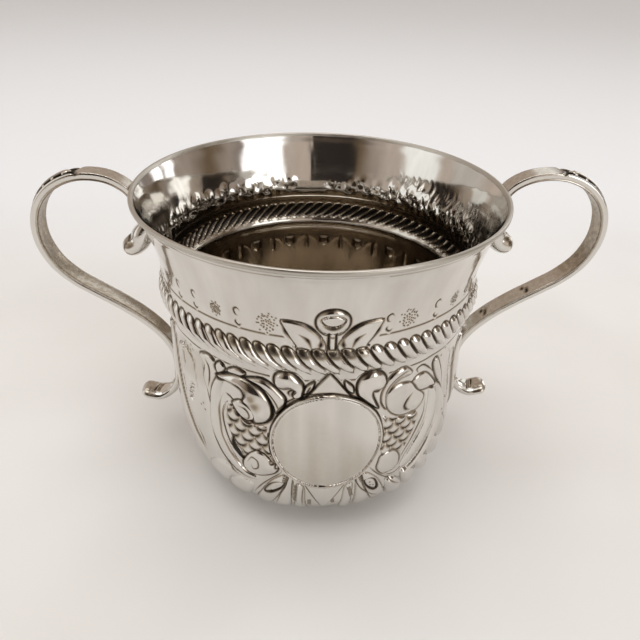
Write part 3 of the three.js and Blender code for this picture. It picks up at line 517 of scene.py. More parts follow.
left_knuckles = [[(24.6, 76.6), (28.6, 78.6), (33.0, 84.6), (34.0, 90.0), (28.0, 91.4), (24.0, 85.0),
                  (21.6, 78.4)],
                 [(31.0, 73.6), (35.4, 74.6), (41.0, 81.0), (43.0, 88.5), (37.0, 90.2), (31.4, 81.6),
                  (28.6, 76.6)]]
left_knuckle_relief = (0.9, 0.8)
ray_lines = [[(10.7, 68.3), (12.5, 77.0), (15.8, 88.3)], [(9.1, 70.1), (9.6, 76.0), (9.8, 82.8)],
             [(6.1, 72.3), (6.5, 79.0), (6.6, 86.0)]]
hatched_columns = [[(11.3, 69.4), (11.7, 73.2)], [(8.3, 73.4), (9.0, 83.2)], [(4.4, 81.4), (4.3, 85.8)]]

# The plain oval plate, its two points, and the flower on the girdle above it.
oval_middle, oval_half_width, oval_half_height = 55.8, 15.1, 17.1
oval_shade = [(-15.5, 50.0), (-11.9, 42.9), (-5.5, 38.6), (1.0, 37.8), (7.5, 39.4)]
point_half_width, point_tips_and_roots = 5.9, ((31.3, 39.6), (87.4, 72.2))
stem, stem_widths = [(0.0, 18.0), (0.0, 20.6), (0.1, 24.0)], [1.0, 0.85, 0.8]
stem_edge = [(0.85, 18.2), (0.9, 20.8), (0.95, 24.0)]
boss_drop, boss_radius, boss_relief = 15.8, 4.0, 1.45
leaf = [(2.0, 23.9), (1.7, 21.8), (3.6, 19.0), (7.0, 16.4), (11.7, 16.0), (10.7, 19.2), (8.6, 22.6),
        (7.6, 23.9)]
leaf_edge = [(1.8, 22.4), (3.6, 19.0), (7.0, 16.4), (11.7, 16.0)]
leaf_back = [(11.9, 15.8), (10.8, 19.2), (8.6, 22.7)]
leaf_vein = [(7.6, 19.3), (5.6, 20.9), (4.6, 23.6)]
leaf_cleft = [(2.7, 20.6), (2.6, 22.2), (3.1, 23.9)]
boss_plane = [(-2.7, 14.6), (-1.6, 13.5), (0.0, 13.2), (1.6, 13.5), (2.7, 14.6), (1.6, 16.1),
              (0.0, 16.6), (-1.6, 16.1)]
boss_smile = [(-3.0, 14.6), (-1.7, 16.3), (0.0, 16.9), (1.7, 16.3), (3.0, 14.6)]


def oval(grow):
    """The cartouche's outline, grown or shrunk by a distance."""
    around = evenly_round(72)
    across = (oval_half_width + grow) * np.cos(around)
    return np.stack([across, oval_middle + (oval_half_height + grow) * np.sin(around)], axis=1)


def chase_left(work):
    """The left half of the scrollwork, from what lies lowest to what lies on top."""
    def placed(points):
        return mirrored(points, -1)

    for outline, height in zip(gadroons, gadroon_relief):
        work.boss(placed(outline), height, 2.9, outline=0.15, dark=0.5)
    for outline, height in zip(left_knuckles, left_knuckle_relief):
        work.boss(placed(outline), height, 2.9, outline=0.0)
    work.line(placed(under_line), width=0.24, dark=0.8)
    for ray in ray_lines:
        work.line(placed(ray), width=0.2, depth=0.12, dark=0.7)
    for start, end in hatched_columns:
        work.hatching(*placed([start, end]), 0.62, 0.85)
    work.boss(placed(almond), 0.35, 1.2, outline=0.3)
    work.dots(placed(almond_bead), 0.4, depth=-0.4, dark=0.2)
    work.boss(placed(side_leaf), 0.55, 1.4, outline=0.3, dark=0.8)
    work.line(placed(side_vein), width=0.3)
    work.line(placed(side_stem), width=0.26, dark=0.75)
    for petal in fan_petals:
        work.boss(placed(petal), 0.5, 1.1, outline=0.3)
    work.band(placed(scroll_middle), scroll_widths, 0.95)
    work.line(placed(scroll_outer), width=0.34, dark=0.95)
    work.line(placed(scroll_inner), width=0.2, dark=0.6)
    work.scales(placed(scale_field), 4.4, 2.75, 0.75)
    work.band(placed(scale_border), scale_border_widths, 0.6)
    work.line(placed(scale_border), width=0.3, dark=0.95)
    work.boss(placed(scale_shadow), -0.35, 0.7, outline=0.34, dark=0.95)
    work.boss(placed(wrap_petal), 1.0, 1.9, outline=0.36, fullness=0.7)
    work.line(placed(wrap_vein), width=0.28, dark=0.8)
    work.boss(placed(volute), 1.9, 4.9, outline=0.36, fullness=0.8)
    work.line(placed(volute_edge), width=0.46, depth=0.24, dark=1.0, taper=0.08)
    # Painted reflection: a soft brown darkening on the upper part of the volute, without relief.
    work.dots(placed(volute_painted_reflection), 1.5, depth=0.0, dark=0.5)
    work.boss(placed(volute_eye), 0.6, 2.4, outline=0.28, fullness=1.0)
    work.line(placed(eye_curl), width=0.26, dark=0.8)
    work.line(placed(volute_fold), width=0.38)
    work.line(placed(inner_fold), width=0.34)
    work.boss(placed(berry), 1.6, 2.9, outline=0.34, fullness=0.75)
    work.line(placed(berry_curl), width=0.36)
    work.boss(placed(corner_leaf), 0.35, 0.8, outline=0.3)
    for stroke in corner_strokes:
        work.line(placed(stroke), width=0.3)
    work.boss(placed(low_volute), 0.95, 3.6, outline=0.26, fullness=0.8)
    work.line(placed(low_spiral), width=0.26, dark=0.85)
    work.line(placed(jagged_edge), width=0.3)
    for leaf_line in drip_leaves:
        work.line(placed(leaf_line), width=0.34)


def chase_right(work):
    """The right half follows the left one by eye only: its volute opens outwards, with a petal
    beside it, and a double band stands out at the side."""
    for outline, height in zip(gadroons, gadroon_relief):
        work.boss(outline, height, 2.6, outline=0.16, dark=0.4)
    for outline, height in zip(right_knuckles, right_knuckle_relief):
        work.boss(outline, height, 3.4, outline=0.0, fullness=0.6)
    for start, end in right_hatching:
        work.hatching(start, end, 0.6, 0.8)
    work.boss(right_small_leaf, 0.4, 1.2, outline=0.3)
    work.dots(right_specks, 0.3)
    work.boss(right_side_leaf, 0.5, 1.2, outline=0.3, dark=0.8)
    for path, widths, height in right_bands:
        work.band(path, widths, height)
    for line in right_lines:
        work.line(line, width=0.26, dark=0.75)
    work.scales(right_scale_field, 4.2, 2.5, 0.75)
    work.boss(right_wrap, 0.8, 2.2, outline=0.24, dark=0.7, fullness=0.8)
    for line in right_wrap_lines:
        work.line(line, width=0.24, dark=0.75)
    work.line(right_petal_line, width=0.3)
    work.boss(right_petal, 0.65, 2.8, outline=0.26, dark=0.75, fullness=1.0)
    work.boss(right_volute, 0.95, 5.0, outline=0.24, dark=0.65, fullness=1.0)
    work.line(right_eye_curl, width=0.5, depth=0.25)
    work.boss(right_berry, 1.4, 2.6, outline=0.34, fullness=0.75)
    work.line(right_berry_curl, width=0.32)
    work.boss(corner_leaf, 0.35, 0.8, outline=0.3)
    work.boss(right_low_volute, 0.85, 3.6, outline=0.26, dark=0.7, fullness=1.0)
    work.dots(right_marks, 0.34, depth=0.14, dark=0.8)


def chase_front(work):
    """Both halves, then the oval plate over them, with a point above it and one below."""
    chase_left(work)
    chase_right(work)
    for tip, root in point_tips_and_roots:
        corners = [(-point_half_width, root), (point_half_width, root), (0, tip)]
        work.boss(corners, 0.5, 0.7, outline=0.24, dark=0.9, square=True)
    work.boss(oval(0.5), 0.95, 0.6, outline=0.24, dark=0.9, square=True)
    work.line(oval_shade, width=0.36, depth=0.1)
    work.boss(oval(-0.55), 0.55, 0.4, outline=0.0, square=True)
    path = oval(-0.4)
    chosen = work.near(path, 1.0)
    if len(chosen):
        away, _, _ = work.measure(path, chosen, True)
        work.relief[chosen] -= 0.16 * line_at(away, 0.22)
        work.oxide_and_painted_shade[chosen] = np.maximum(work.oxide_and_painted_shade[chosen], 0.35 * line_at(away, 0.2))


def chase_flower(work):
    """The flower on the girdle: a round boss on a stem between two leaves."""
    for side in (-1, 1):
        work.boss(mirrored(leaf, side), 0.5, 2.2, outline=0.15, dark=0.8)
        work.line(mirrored(leaf_edge, side), width=0.62, dark=1.0, taper=0.5)
        work.line(mirrored(leaf_back, side), width=0.5, dark=1.0, taper=0.5)
        work.line(mirrored(leaf_vein, side), width=0.5, dark=1.0, taper=0.5)
        work.line(mirrored(leaf_cleft, side), width=0.6, dark=1.0, taper=0.5)
    chosen = work.near(np.array([[0.0, boss_drop]]), boss_radius + 1.5)
    if len(chosen):
        away = np.hypot(work.across[chosen], work.drop[chosen] - boss_drop)
        inside = away < boss_radius
        ring = line_at(away - boss_radius, 0.3) * smoothstep(boss_drop + 5.2 - work.drop[chosen], 0, 2.0)
        cap = boss_relief * arch(away / boss_radius, 0.75)
        work.relief[chosen] = np.where(inside, cap, work.relief[chosen]) - 0.2 * ring
        work.oxide_and_painted_shade[chosen] = np.maximum(np.where(inside, 0, work.oxide_and_painted_shade[chosen]), 0.95 * ring)
    work.boss(boss_plane, 0.95, 0.5, outline=0.16, dark=0.5)
    work.line(boss_smile, width=0.5, depth=0.25, taper=0.5)
    work.band(stem, stem_widths, 0.75)
    for side in (-1, 1):
        work.line(mirrored(stem_edge, side), width=0.36, dark=1.0, taper=0.1)


# A border of punched rosettes and curls in turn stands on the line above the rope. It was
# set out by eye at the front, where the two beside the flower are larger, and evenly behind.
# Inside, every blow of the punches has raised a few round lumps.
punch_pitch, back_right, back_left = 6.72, 40.8, -42.2
front_border = {"rosette": [-15.2, -28.8, 18.7, 34.2], "curl": [-22.4, -35.6, 13.6, 27.4]}
rosette_rings, rosette_drop, small_rosette = ((0.7, 6), (1.3, 11), (1.9, 15), (2.4, 9)), 17.3, 0.66
curl_strokes = ([(0.8, 15.7), (0, 14.9), (-0.9, 15.6), (-0.7, 16.9), (0.1, 17.3)],
                [(-0.5, 18.4), (-0.8, 19.3), (0, 20.0), (0.8, 19.4)])


def border_places(kind):
    """Where the rosettes or the curls of the punched border stand, across from the front."""
    places = list(front_border[kind])
    count = int((math.pi * unroll_radius - 40) / punch_pitch)
    for i in range(count):
        if (i % 2 == 0) == (kind == "rosette"):
            places.append(back_right + i * punch_pitch)
        else:
            places.append(back_left - i * punch_pitch)
    return places


def punch_border(work):
    """Punches a rosette as rings of dots, and a curl as two separate short strokes."""
    for middle in border_places("rosette"):
        size = 1.0 if -16 < middle < 20 else small_rosette
        dots = [(middle, rosette_drop - 0.1)]
        for ring, number in rosette_rings:
            for k in range(number):
                turn = full_turn * (k + 0.5 * ring) / number
                away = size * ring * (1 + 0.16 * math.sin(5.1 * k + middle))
                dots.append((middle + away * math.cos(turn), rosette_drop + 1.15 * away * math.sin(turn)))
        work.dots(dots, 0.22, depth=0.12, dark=1.0)
    for middle in border_places("curl"):
        for stroke in curl_strokes:
            work.line([(middle + x, y) for x, y in stroke], width=0.28, depth=0.14, dark=0.9)


lumps = ((-1.2, 15.4, 1.6, 0.42), (1.5, 16.8, 1.7, 0.46), (-1.1, 18.5, 1.6, 0.44), (2.3, 19.4, 1.3, 0.34))


def border_lumps(across, drop):
    """How far the lumps behind the border stand inwards."""
    height = np.zeros_like(across)
    for middle in border_places("rosette") + border_places("curl"):
        wander = 0.5 * math.sin(2.3 * middle)
        for x, y, size, tall in lumps:
            away = np.hypot(across - middle - x - wander, drop - y + wander * x)
            uneven = 0.7 + 0.3 * math.sin(1.7 * middle + 2.9 * y)
            height = np.maximum(height, tall * uneven * line_at(away, size))
    return height


# The whole sheet, outside and inside. Outside, use has left stray knocks beside the chasing,
# and painted shade gives streaks of reflection round the throat, a film on the oval plate and a patch left of
# the scrollwork. Inside, the raised forms show softly in reverse, a collar ends in a seam above the rope,
# darkened with oxide and painted shade, and the sheet is rough by the right handle and dark behind the rope.
edge_marks = [(-45.7, 36.3), (-46.6, 37.4), (-42.4, 35.6), (-41.6, 36.8), (-43.0, 37.8), (-42.7, 49.6),
              (-43.1, 51.2), (-43.5, 52.8), (-43.6, 54.6), (-38.2, 53.5), (-39.4, 54.8), (-37.6, 55.6),
              (42.8, 44.8), (42.0, 47.5), (42.2, 55.5), (40.0, 37.2), (41.2, 38.6)]
mark_size, mark_depth, mark_oxide = 0.34, 0.12, 0.75
# Painted reflection: soft upright streaks of shade round the throat, between these drops.
throat_streak_shade, throat_streak_drops = 0.04, (2.0, 6.0, 17.0, 22.0)
# Painted shade on the oval plate: an uneven film, darker towards the bottom and thinner at its upper right.
plate_shade_base, plate_shade_low, plate_shade_uneven = 0.085, 0.07, 0.035
plate_shade_lower_part, plate_shade_edge, plate_shade_clearing = (50.0, 70.0), (0.9, 0.97), 0.8
# A patch of painted shade on the wall left of the scrollwork.
side_patch_shade, patch_places, patch_drops = 0.15, (33.0, 38.0, 48.0, 54.0), (34.0, 37.0, 44.0, 50.0)
# The dark seam line inside is oxide and painted shade.
seam_drop, seam_width, seam_oxide_and_shade = 21.75, 0.35, 0.9
collar_relief, collar_drops = 0.55, (13.5, 20.5, 21.0, 21.9)
rough_relief, rough_drops, rough_turn, rough_reach = 0.07, (8.0, 14.0, 21.0, 23.0), 1.9, (0.72, 0.95)
softened, softened_low, softened_drops = 0.86, 0.7, (34.0, 37.0)
dull_oxide, dull_drops, lower_dull_oxide, lower_dull_drops = 0.22, (20.5, 24.0), 0.17, (36.0, 38.0)
hollow_oxide, hollow_relief, ridge_wear = 0.9, (0.2, 0.75), 0.6


def planishing(across, drop):
    """The faint facets that the planishing hammer left, a little deeper in the chased part."""
    depth = 0.02 + 0.03 * smoothstep(drop, rope_top, rope_top + 12)
    facets = np.sin(3.1 * across / 4.1 + 1.7 * np.sin(drop / 5.3))
    return depth * facets * np.sin(drop / 3.7 + 1.3 * np.sin(across / 6.1))


def outer_painted_shade(turned, across, drop):
    """Painted shade outside: streaks of reflection round the throat, an uneven film of painted shade
    on the oval plate that is darker towards its bottom and thinner at its upper right, and a patch of painted
    shade on the wall left of the scrollwork."""
    streaks = 1 + np.sin(25 * turned + 1.3 * np.sin(10 * turned) + 0.05 * drop)
    # Streaks of painted reflection round the throat.
    streak_shade = throat_streak_shade * streaks * between(drop, *throat_streak_drops)
    unevenness = 1 + 0.6 * np.sin(0.62 * across + 0.04 * drop + 0.8) + 0.4 * np.sin(1.45 * across - 0.09 * drop)
    paler = smoothstep(0.06 * across - 0.07 * (drop - oval_middle), 0.2, 1.0)
    # Painted shade on the oval plate, uneven, darker towards its bottom and cleared at its upper right.
    plate_shade = plate_shade_base + plate_shade_low * smoothstep(drop, *plate_shade_lower_part) + plate_shade_uneven * unevenness
    beyond = np.hypot(across / oval_half_width, (drop - oval_middle) / oval_half_height)
    plate_shade = plate_shade * (1 - plate_shade_clearing * paler) * (1 - smoothstep(beyond, *plate_shade_edge))
    # Painted shade: a darker patch on the wall left of the scrollwork.
    patch = between(-across, *patch_places) * between(drop, *patch_drops)
    return streak_shade + plate_shade + side_patch_shade * patch


def inner_side(angle, across, drop, relief, twist):
    """Relief and oxide inside, with painted shade at the seam, from the relief and the rope as they were
    raised.
    """
    inward, edges = inner_marks(angle, drop)
    inward = inward + border_lumps(across, drop) + collar_relief * between(drop, *collar_drops)
    hammered = smoothstep(np.cos(from_front(angle) - rough_turn), *rough_reach)
    hammered = hammered * between(drop, *rough_drops)
    rough = np.sin(2.4 * across + 1.8 * np.sin(0.7 * drop)) * (0.6 + 0.4 * np.sin(0.9 * drop + across))
    soft = softened - softened_low * smoothstep(drop, *softened_drops)
    dull = dull_oxide * smoothstep(drop, *dull_drops) + lower_dull_oxide * smoothstep(drop, *lower_dull_drops)
    dull = dull * (1 - ridge_wear * arch((drop - inner_ridge) / inner_ridge_half))
    hollow = hollow_oxide * smoothstep(twist, *hollow_relief)
    # The seam line is oxide, darkened further with painted shade.
    edges = np.maximum(edges, seam_oxide_and_shade * line_at(drop - seam_drop, seam_width))
    relief = soft * relief - inward + rough_relief * hammered * rough
    return relief, np.maximum(np.maximum(dull, hollow), edges)


def wall_work(angle, drop, inside):
    """Relief, and oxide with painted shade, of the outer or the inner face, at angles and drops on a grid."""
    shape = angle.shape
    angle, drop = angle.ravel(), drop.ravel()
    turned = from_front(angle)
    across = turned * unroll_radius
    work = Chasing(across, drop)
    chase_flower(work)
    chase_front(work)
    punch_border(work)
    work.dots(edge_marks, mark_size, depth=mark_depth, dark=mark_oxide)
    bare = np.abs(work.relief) < 1e-4
    lines, line_dark = girdle_lines(across, drop)
    lobes, lobe_dark = flutes(angle, drop)
    rope_place = (inner_rope_top, inner_rope_height) if inside else (rope_top, rope_height)
    twist, twist_dark = rope(angle, drop, *rope_place)
    relief = np.where(twist > 0, np.maximum(work.relief, twist), work.relief + twist)
    relief = relief + np.where(bare, lobes if inside else lines + lobes, 0) + planishing(across, drop)
    if inside:
        relief, oxide_and_painted_shade = inner_side(angle, across, drop, relief, twist)
    else:
        in_flower = (np.abs(across) < 10) & (drop < rope_top + 0.7)
        ground = np.where(bare & ~in_flower, np.maximum(line_dark, lobe_dark), 0)
        oxide_and_painted_shade = np.maximum(np.maximum(work.oxide_and_painted_shade, twist_dark), ground)
        oxide_and_painted_shade = np.maximum(oxide_and_painted_shade, outer_painted_shade(turned, across, drop))
    return relief.reshape(shape), np.clip(oxide_and_painted_shade, 0, 1).reshape(shape)


def wall_points(angles, lengths, inside):
    """Points of the outer or inner face, in metres, with their normals, and their oxide with painted shade,
    on a grid of angles and of distances along the wall."""
    def widened(values):
        return np.concatenate([[2 * values[0] - values[1]], values, [2 * values[-1] - values[-2]]])

    def outline_at(values):
        return np.interp(length, outline_length, values)

    angle, length = np.meshgrid(widened(angles), widened(lengths))
    drop, out, down = outline_at(outline_drop), outline_at(outline_out), outline_at(outline_down)
    relief, oxide_and_painted_shade = wall_work(angle, drop, inside)
    if inside:
        relief = relief - sheet_thickness
    radius = outline_at(outline_radius) + relief * out
    height = rim_height - drop - relief * down
    points = np.stack([radius * np.cos(angle), radius * np.sin(angle), height], axis=2) * millimetre
    sideways = points[1:-1, 2:] - points[1:-1, :-2]
    downwards = points[2:, 1:-1] - points[:-2, 1:-1]
    normals = np.cross(downwards, sideways)
    normals /= np.linalg.norm(normals, axis=2, keepdims=True)
    if inside:
        normals = -normals
    return points[1:-1, 1:-1], normals, oxide_and_painted_shade[1:-1, 1:-1]


def zip_rows(first, second, first_at, second_at):
    """Triangles between two rows of vertices, joined where they lie beside each other."""
    faces, i, j = [], 0, 0
    while i < len(first) - 1 or j < len(second) - 1:
        if j >= len(second) - 1 or (i < len(first) - 1 and first_at[i + 1] <= second_at[j + 1]):
            faces.append((first[i], first[i + 1], second[j]))
            i += 1
        else:
            faces.append((first[i], second[j + 1], second[j]))
            j += 1
    return faces


def grid_faces(start, rows, columns, ring, flip):
    """Quads of a grid of vertices, and the index of each vertex by row and column."""
    index = start + np.arange(rows * columns).reshape(rows, columns)
    if ring:
        index = np.hstack([index, index[:, :1]])
    corners = [index[:-1, :-1], index[1:, :-1], index[1:, 1:], index[:-1, 1:]]
    if flip:
        corners.reverse()
    return np.stack(corners, axis=-1).reshape(-1, 4).tolist(), index


def new_mesh(name, points, faces, normals=None, oxide_and_painted_shade=None):
    """A mesh object in the scene, shaded smooth, with its place in its vertices."""
    mesh = bpy.data.meshes.new(name)
    mesh.from_pydata(np.asarray(points).tolist(), [], faces)
    mesh.shade_smooth()
    if normals is not None:
        mesh.normals_split_custom_set_from_vertices(np.asarray(normals).tolist())
    # The oxide layer carries real oxide, and painted shade and painted reflections as well.
    if oxide_and_painted_shade is not None:
        layer = mesh.attributes.new("oxide_and_painted_shade", "FLOAT", "POINT")
        layer.data.foreach_set("value", np.asarray(oxide_and_painted_shade, np.float32))
    piece = bpy.data.objects.new(name, mesh)
    bpy.context.scene.collection.objects.link(piece)
    return piece


def wall_piece(name, top, bottom, outer_angles, inner_angles, outer_rows, inner_rows, ring=True):
    """A closed slice of the wall between two drops, with both faces of the sheet and the cut
    edges between them. A ring goes all round."""
    start, end = length_at(top), length_at(bottom)
    outer_lengths, inner_lengths = np.linspace(start, end, outer_rows), np.linspace(start, end, inner_rows)
    outer, outer_normals, outer_oxide_and_shade = wall_points(outer_angles, outer_lengths, False)
    inner, inner_normals, inner_oxide_and_shade = wall_points(inner_angles, inner_lengths, True)
    faces, outer_index = grid_faces(0, *outer.shape[:2], ring, False)
    more, inner_index = grid_faces(outer_oxide_and_shade.size, *inner.shape[:2], ring, True)
    faces += more
    closing = [outer_angles[0] + full_turn] if ring else []
    outer_at, inner_at = np.append(outer_angles, closing), np.append(inner_angles, closing)
    faces += zip_rows(outer_index[0], inner_index[0], outer_at, inner_at)
    faces += zip_rows(inner_index[-1], outer_index[-1], inner_at, outer_at)
    if not ring:
        faces += zip_rows(inner_index[:, 0], outer_index[:, 0], inner_lengths, outer_lengths)
        faces += zip_rows(outer_index[:, -1], inner_index[:, -1], outer_lengths, inner_lengths)
    points = np.vstack([outer.reshape(-1, 3), inner.reshape(-1, 3)])
    normals = np.vstack([outer_normals.reshape(-1, 3), inner_normals.reshape(-1, 3)])
    oxide_and_painted_shade = np.concatenate([outer_oxide_and_shade.ravel(), inner_oxide_and_shade.ravel()])
    faces = [tuple(int(v) for v in face) for face in faces]
    return new_mesh(name, points, faces, normals, oxide_and_painted_shade)


# The bowl's finish is polished sterling silver: a warm white metal with faint clouding and fine wiping
# scratches, which turns brown and then black where oxide is left in the recesses and where shade is painted.
class NodeBench:
    """Adds nodes to one tree, each from the values or the outputs that its sockets take."""

    def __init__(self, tree):
        self.tree = tree

    def add(self, kind, sockets=(), **settings):
        """A new node with its settings, whose named sockets are set or linked."""
        node = self.tree.nodes.new(kind)
        for setting, value in settings.items():
            setattr(node, setting, value)
        for label, value in dict(sockets).items():
            if isinstance(value, bpy.types.NodeSocket):
                self.tree.links.new(value, node.inputs[label])
            else:
                node.inputs[label].default_value = value
        return node

    def noise(self, place, scale, detail, roughness=0.5, stretch=None):
        """Soft noise from 0 to 1, finer along an axis where the stretch is large."""
        if stretch:
            place = self.add("ShaderNodeMapping", {"Scale": stretch, "Vector": place}).outputs["Vector"]
        sockets = {"Scale": scale, "Detail": detail, "Roughness": roughness, "Vector": place}
        return self.add("ShaderNodeTexNoise", sockets).outputs["Fac"]

    def spread(self, value, low, high, to_low=0.0, to_high=1.0, kind="LINEAR"):
        """Takes the range from low to high to another one, and stops at its ends."""
        sockets = {"Value": value, "From Min": low, "From Max": high, "To Min": to_low, "To Max": to_high}
        return self.add("ShaderNodeMapRange", sockets, interpolation_type=kind).outputs["Result"]

    def blend(self, share, first, second):
        """From the first colour to the second, by a share from 0 to 1."""
        first, second = ((*c, 1.0) if isinstance(c, tuple) else c for c in (first, second))
        sockets = {"Factor": share, "A": first, "B": second}
        return self.add("ShaderNodeMix", sockets, data_type="RGBA").outputs["Result"]

    def calculate(self, operation, first, second):
        """The sum, product or other result of two numbers."""
        return self.add("ShaderNodeMath", {0: first, 1: second}, operation=operation).outputs["Value"]


cooler = (0.95, 0.965, 0.97)
brown, black, oxide_dullness = (0.40, 0.34, 0.265), (0.03, 0.025, 0.022), 0.3
cloud_scale, streak_scale, speckle_scale, wiping_scale = 45.0, 150.0, 700.0, 260.0
ripple_scale, pit_scale, wiping_depth = 140.0, 1100.0, 0.02
streak_stretch, wiping_stretch = (1.0, 1.0, 0.07), (1.0, 1.0, 9.0)
bump_height, bump_strength = 0.00012, 0.6


def silver(name, colour, shine, pitting=0.0, ripple=0.35, patches=(0.9, 1.05), painted_streak_share=0.0):
    """Silver with its own roughness, ripple and pits. The patches thin and thicken the oxide and painted
    shade, and a painted streak share gives the colour upright streaks of darker silver, a painted reflection."""
    material = bpy.data.materials.new(name)
    material.use_nodes = True
    bench = NodeBench(material.node_tree)
    place = bench.add("ShaderNodeTexCoord").outputs["Object"]
    clouds = bench.spread(bench.noise(place, cloud_scale, 3.0), 0.35, 0.65)
    metal = bench.blend(clouds, colour, tuple(c * f for c, f in zip(colour, cooler)))
    # Painted reflection: upright streaks of darker silver in the colour.
    if painted_streak_share:
        streaks = bench.spread(bench.noise(place, streak_scale, 3.0, 0.55, streak_stretch), 0.3, 0.7)
        metal = bench.blend(streaks, metal, tuple(c * painted_streak_share for c in colour))
    # The oxide layer, which also holds painted shade and painted reflections.
    layer = bench.add("ShaderNodeAttribute", attribute_name="oxide_and_painted_shade").outputs["Fac"]
    speckle = bench.spread(bench.noise(place, speckle_scale, 2.0, 0.6), 0.3, 0.7, *patches)
    dark = bench.spread(bench.calculate("MULTIPLY", layer, speckle), 0.04, 0.85)
    metal = bench.blend(bench.spread(dark, 0.0, 0.4), metal, brown)
    metal = bench.blend(bench.spread(dark, 0.35, 1.0), metal, black)
    wiping = bench.noise(place, wiping_scale, 4.0, 0.65, wiping_stretch)
    roughness = bench.spread(wiping, 0.3, 0.7, shine * 0.75, shine * 1.35)
    roughness = bench.calculate("ADD", roughness, bench.calculate("MULTIPLY", dark, oxide_dullness))
    height = bench.calculate("MULTIPLY", bench.noise(place, ripple_scale, 2.0), ripple)
    height = bench.calculate("ADD", height, bench.calculate("MULTIPLY", wiping, wiping_depth))
    if pitting:
        pits = bench.spread(bench.noise(place, pit_scale, 3.0, 0.6), 0.32, 0.46)
        height = bench.calculate("ADD", height, bench.calculate("MULTIPLY", pits, pitting))
    bump = {"Distance": bump_height, "Strength": bump_strength, "Height": height}
    bump = bench.add("ShaderNodeBump", bump).outputs["Normal"]
    shader = bench.tree.nodes["Principled BSDF"]
    shader.inputs["Metallic"].default_value = 1.0
    for label, value in (("Base Color", metal), ("Roughness", roughness), ("Normal", bump)):
        bench.tree.links.new(value, shader.inputs[label])
    return material


# The bowl's silver carries painted reflection streaks.
bowl_finish = silver("bowl_silver_finish", (0.75, 0.725, 0.685), 0.085, painted_streak_share=0.84)


def finish_piece(piece, finish, slot, *nodes_stood_for):
    """Gives a piece its finish and its body, and hides the CAD nodes that it stands for. The slot is not
    used.
    """
    piece.data.materials.append(finish)
    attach(piece, "root")
    if nodes_stood_for:
        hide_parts(*nodes_stood_for)
    return piece


def spaced_angles(fine, coarse, half_width):
    """Angles round the bowl, closer together near the front and never twice the same."""
    front = np.arange(-half_width, half_width, fine)
    rest = np.arange(half_width, full_turn - half_width, coarse)
    return front_angle + np.concatenate([front, rest])


# The bowl is one piece of sheet. It is kept here as slices that meet without a gap, each
# fine enough for its own work: the polished lip, the throat with the punched border and the
# flower, the girdle, the chased front in two halves, the fluted sides and back, and the base.
lip_bottom, throat_bottom, girdle_bottom = 10.4, 22.2, 35.0
throat_front, front_half = 0.85, math.radians(49)

lip = wall_piece("bowl_lip", lip_top, lip_bottom, evenly_round(900), evenly_round(600),
                 outer_rows=30, inner_rows=26)
finish_piece(lip, bowl_finish, "bowl_silver", "bowl")

throat = wall_piece("bowl_throat", lip_bottom, throat_bottom,
                    spaced_angles(0.0042, 0.0085, throat_front),
                    spaced_angles(0.0098, 0.0098, throat_front), outer_rows=56, inner_rows=26)
finish_piece(throat, bowl_finish, "bowl_silver", "bowl")

girdle = wall_piece("bowl_girdle", throat_bottom, girdle_bottom, evenly_round(rope_lobes * 19),
                    evenly_round(rope_lobes * 10), outer_rows=46, inner_rows=28)
finish_piece(girdle, bowl_finish, "bowl_silver", "bowl")


# Columns outside and inside, then rows outside and inside, of the slices below the girdle.
front_fineness, side_fineness = (226, 90, 300, 120), (230, 190, 200, 150)
lower_slices = (("bowl_front_left", -front_half, 0.0, front_fineness),
                ("bowl_front_right", 0.0, front_half, front_fineness),
                ("bowl_side_right", front_half, math.pi, side_fineness),
                ("bowl_side_left", math.pi, full_turn - front_half, side_fineness))
for name, start, end, (outer_columns, inner_columns, outer_rows, inner_rows) in lower_slices:
    outer_angles = front_angle + np.linspace(start, end, outer_columns)
    inner_angles = front_angle + np.linspace(start, end, inner_columns)
    lower_slice = wall_piece(name, girdle_bottom, base_drop, outer_angles, inner_angles, outer_rows,
                             inner_rows, ring=False)
    finish_piece(lower_slice, bowl_finish, "bowl_silver", "bowl")

# The flat bottom is a disc with very faint turning rings, closed at its edge.
disc_columns = 240
disc_radii = base_radius * np.array([1.0, 0.97, 0.9, 0.8, 0.68, 0.55, 0.42, 0.3, 0.18, 0.08])
disc_height, dish_depth, dish_rings = rim_height - base_drop, 0.05, 1.4
disc_turns = evenly_round(disc_columns)
points, normals = [], []
for level, face in ((disc_height, -1.0), (disc_height + sheet_thickness, 1.0)):
    for radius in disc_radii:
        dish = np.full(disc_columns, level + dish_depth * np.sin(radius * dish_rings))
        points.append(np.stack([radius * np.cos(disc_turns), radius * np.sin(disc_turns), dish], axis=1))
        normals.append(np.tile([0, 0, face], (disc_columns, 1)))
    points.append(np.array([[0, 0, level]]))
    normals.append(np.array([[0, 0, face]]))
faces, below = grid_faces(0, len(disc_radii), disc_columns, True, False)
centre_below = len(disc_radii) * disc_columns
more, above = grid_faces(centre_below + 1, len(disc_radii), disc_columns, True, True)
centre_above = 2 * centre_below + 1
faces += more
for i in range(disc_columns):
    faces.append((int(below[-1, i]), centre_below, int(below[-1, i + 1])))
    faces.append((int(above[-1, i]), int(above[-1, i + 1]), centre_above))
    faces.append((int(below[0, i]), int(below[0, i + 1]), int(above[0, i + 1]), int(above[0, i])))
base = new_mesh("bowl_base", np.vstack(points) * millimetre, faces, np.vstack(normals))
finish_piece(base, bowl_finish, "bowl_silver", "bowl")


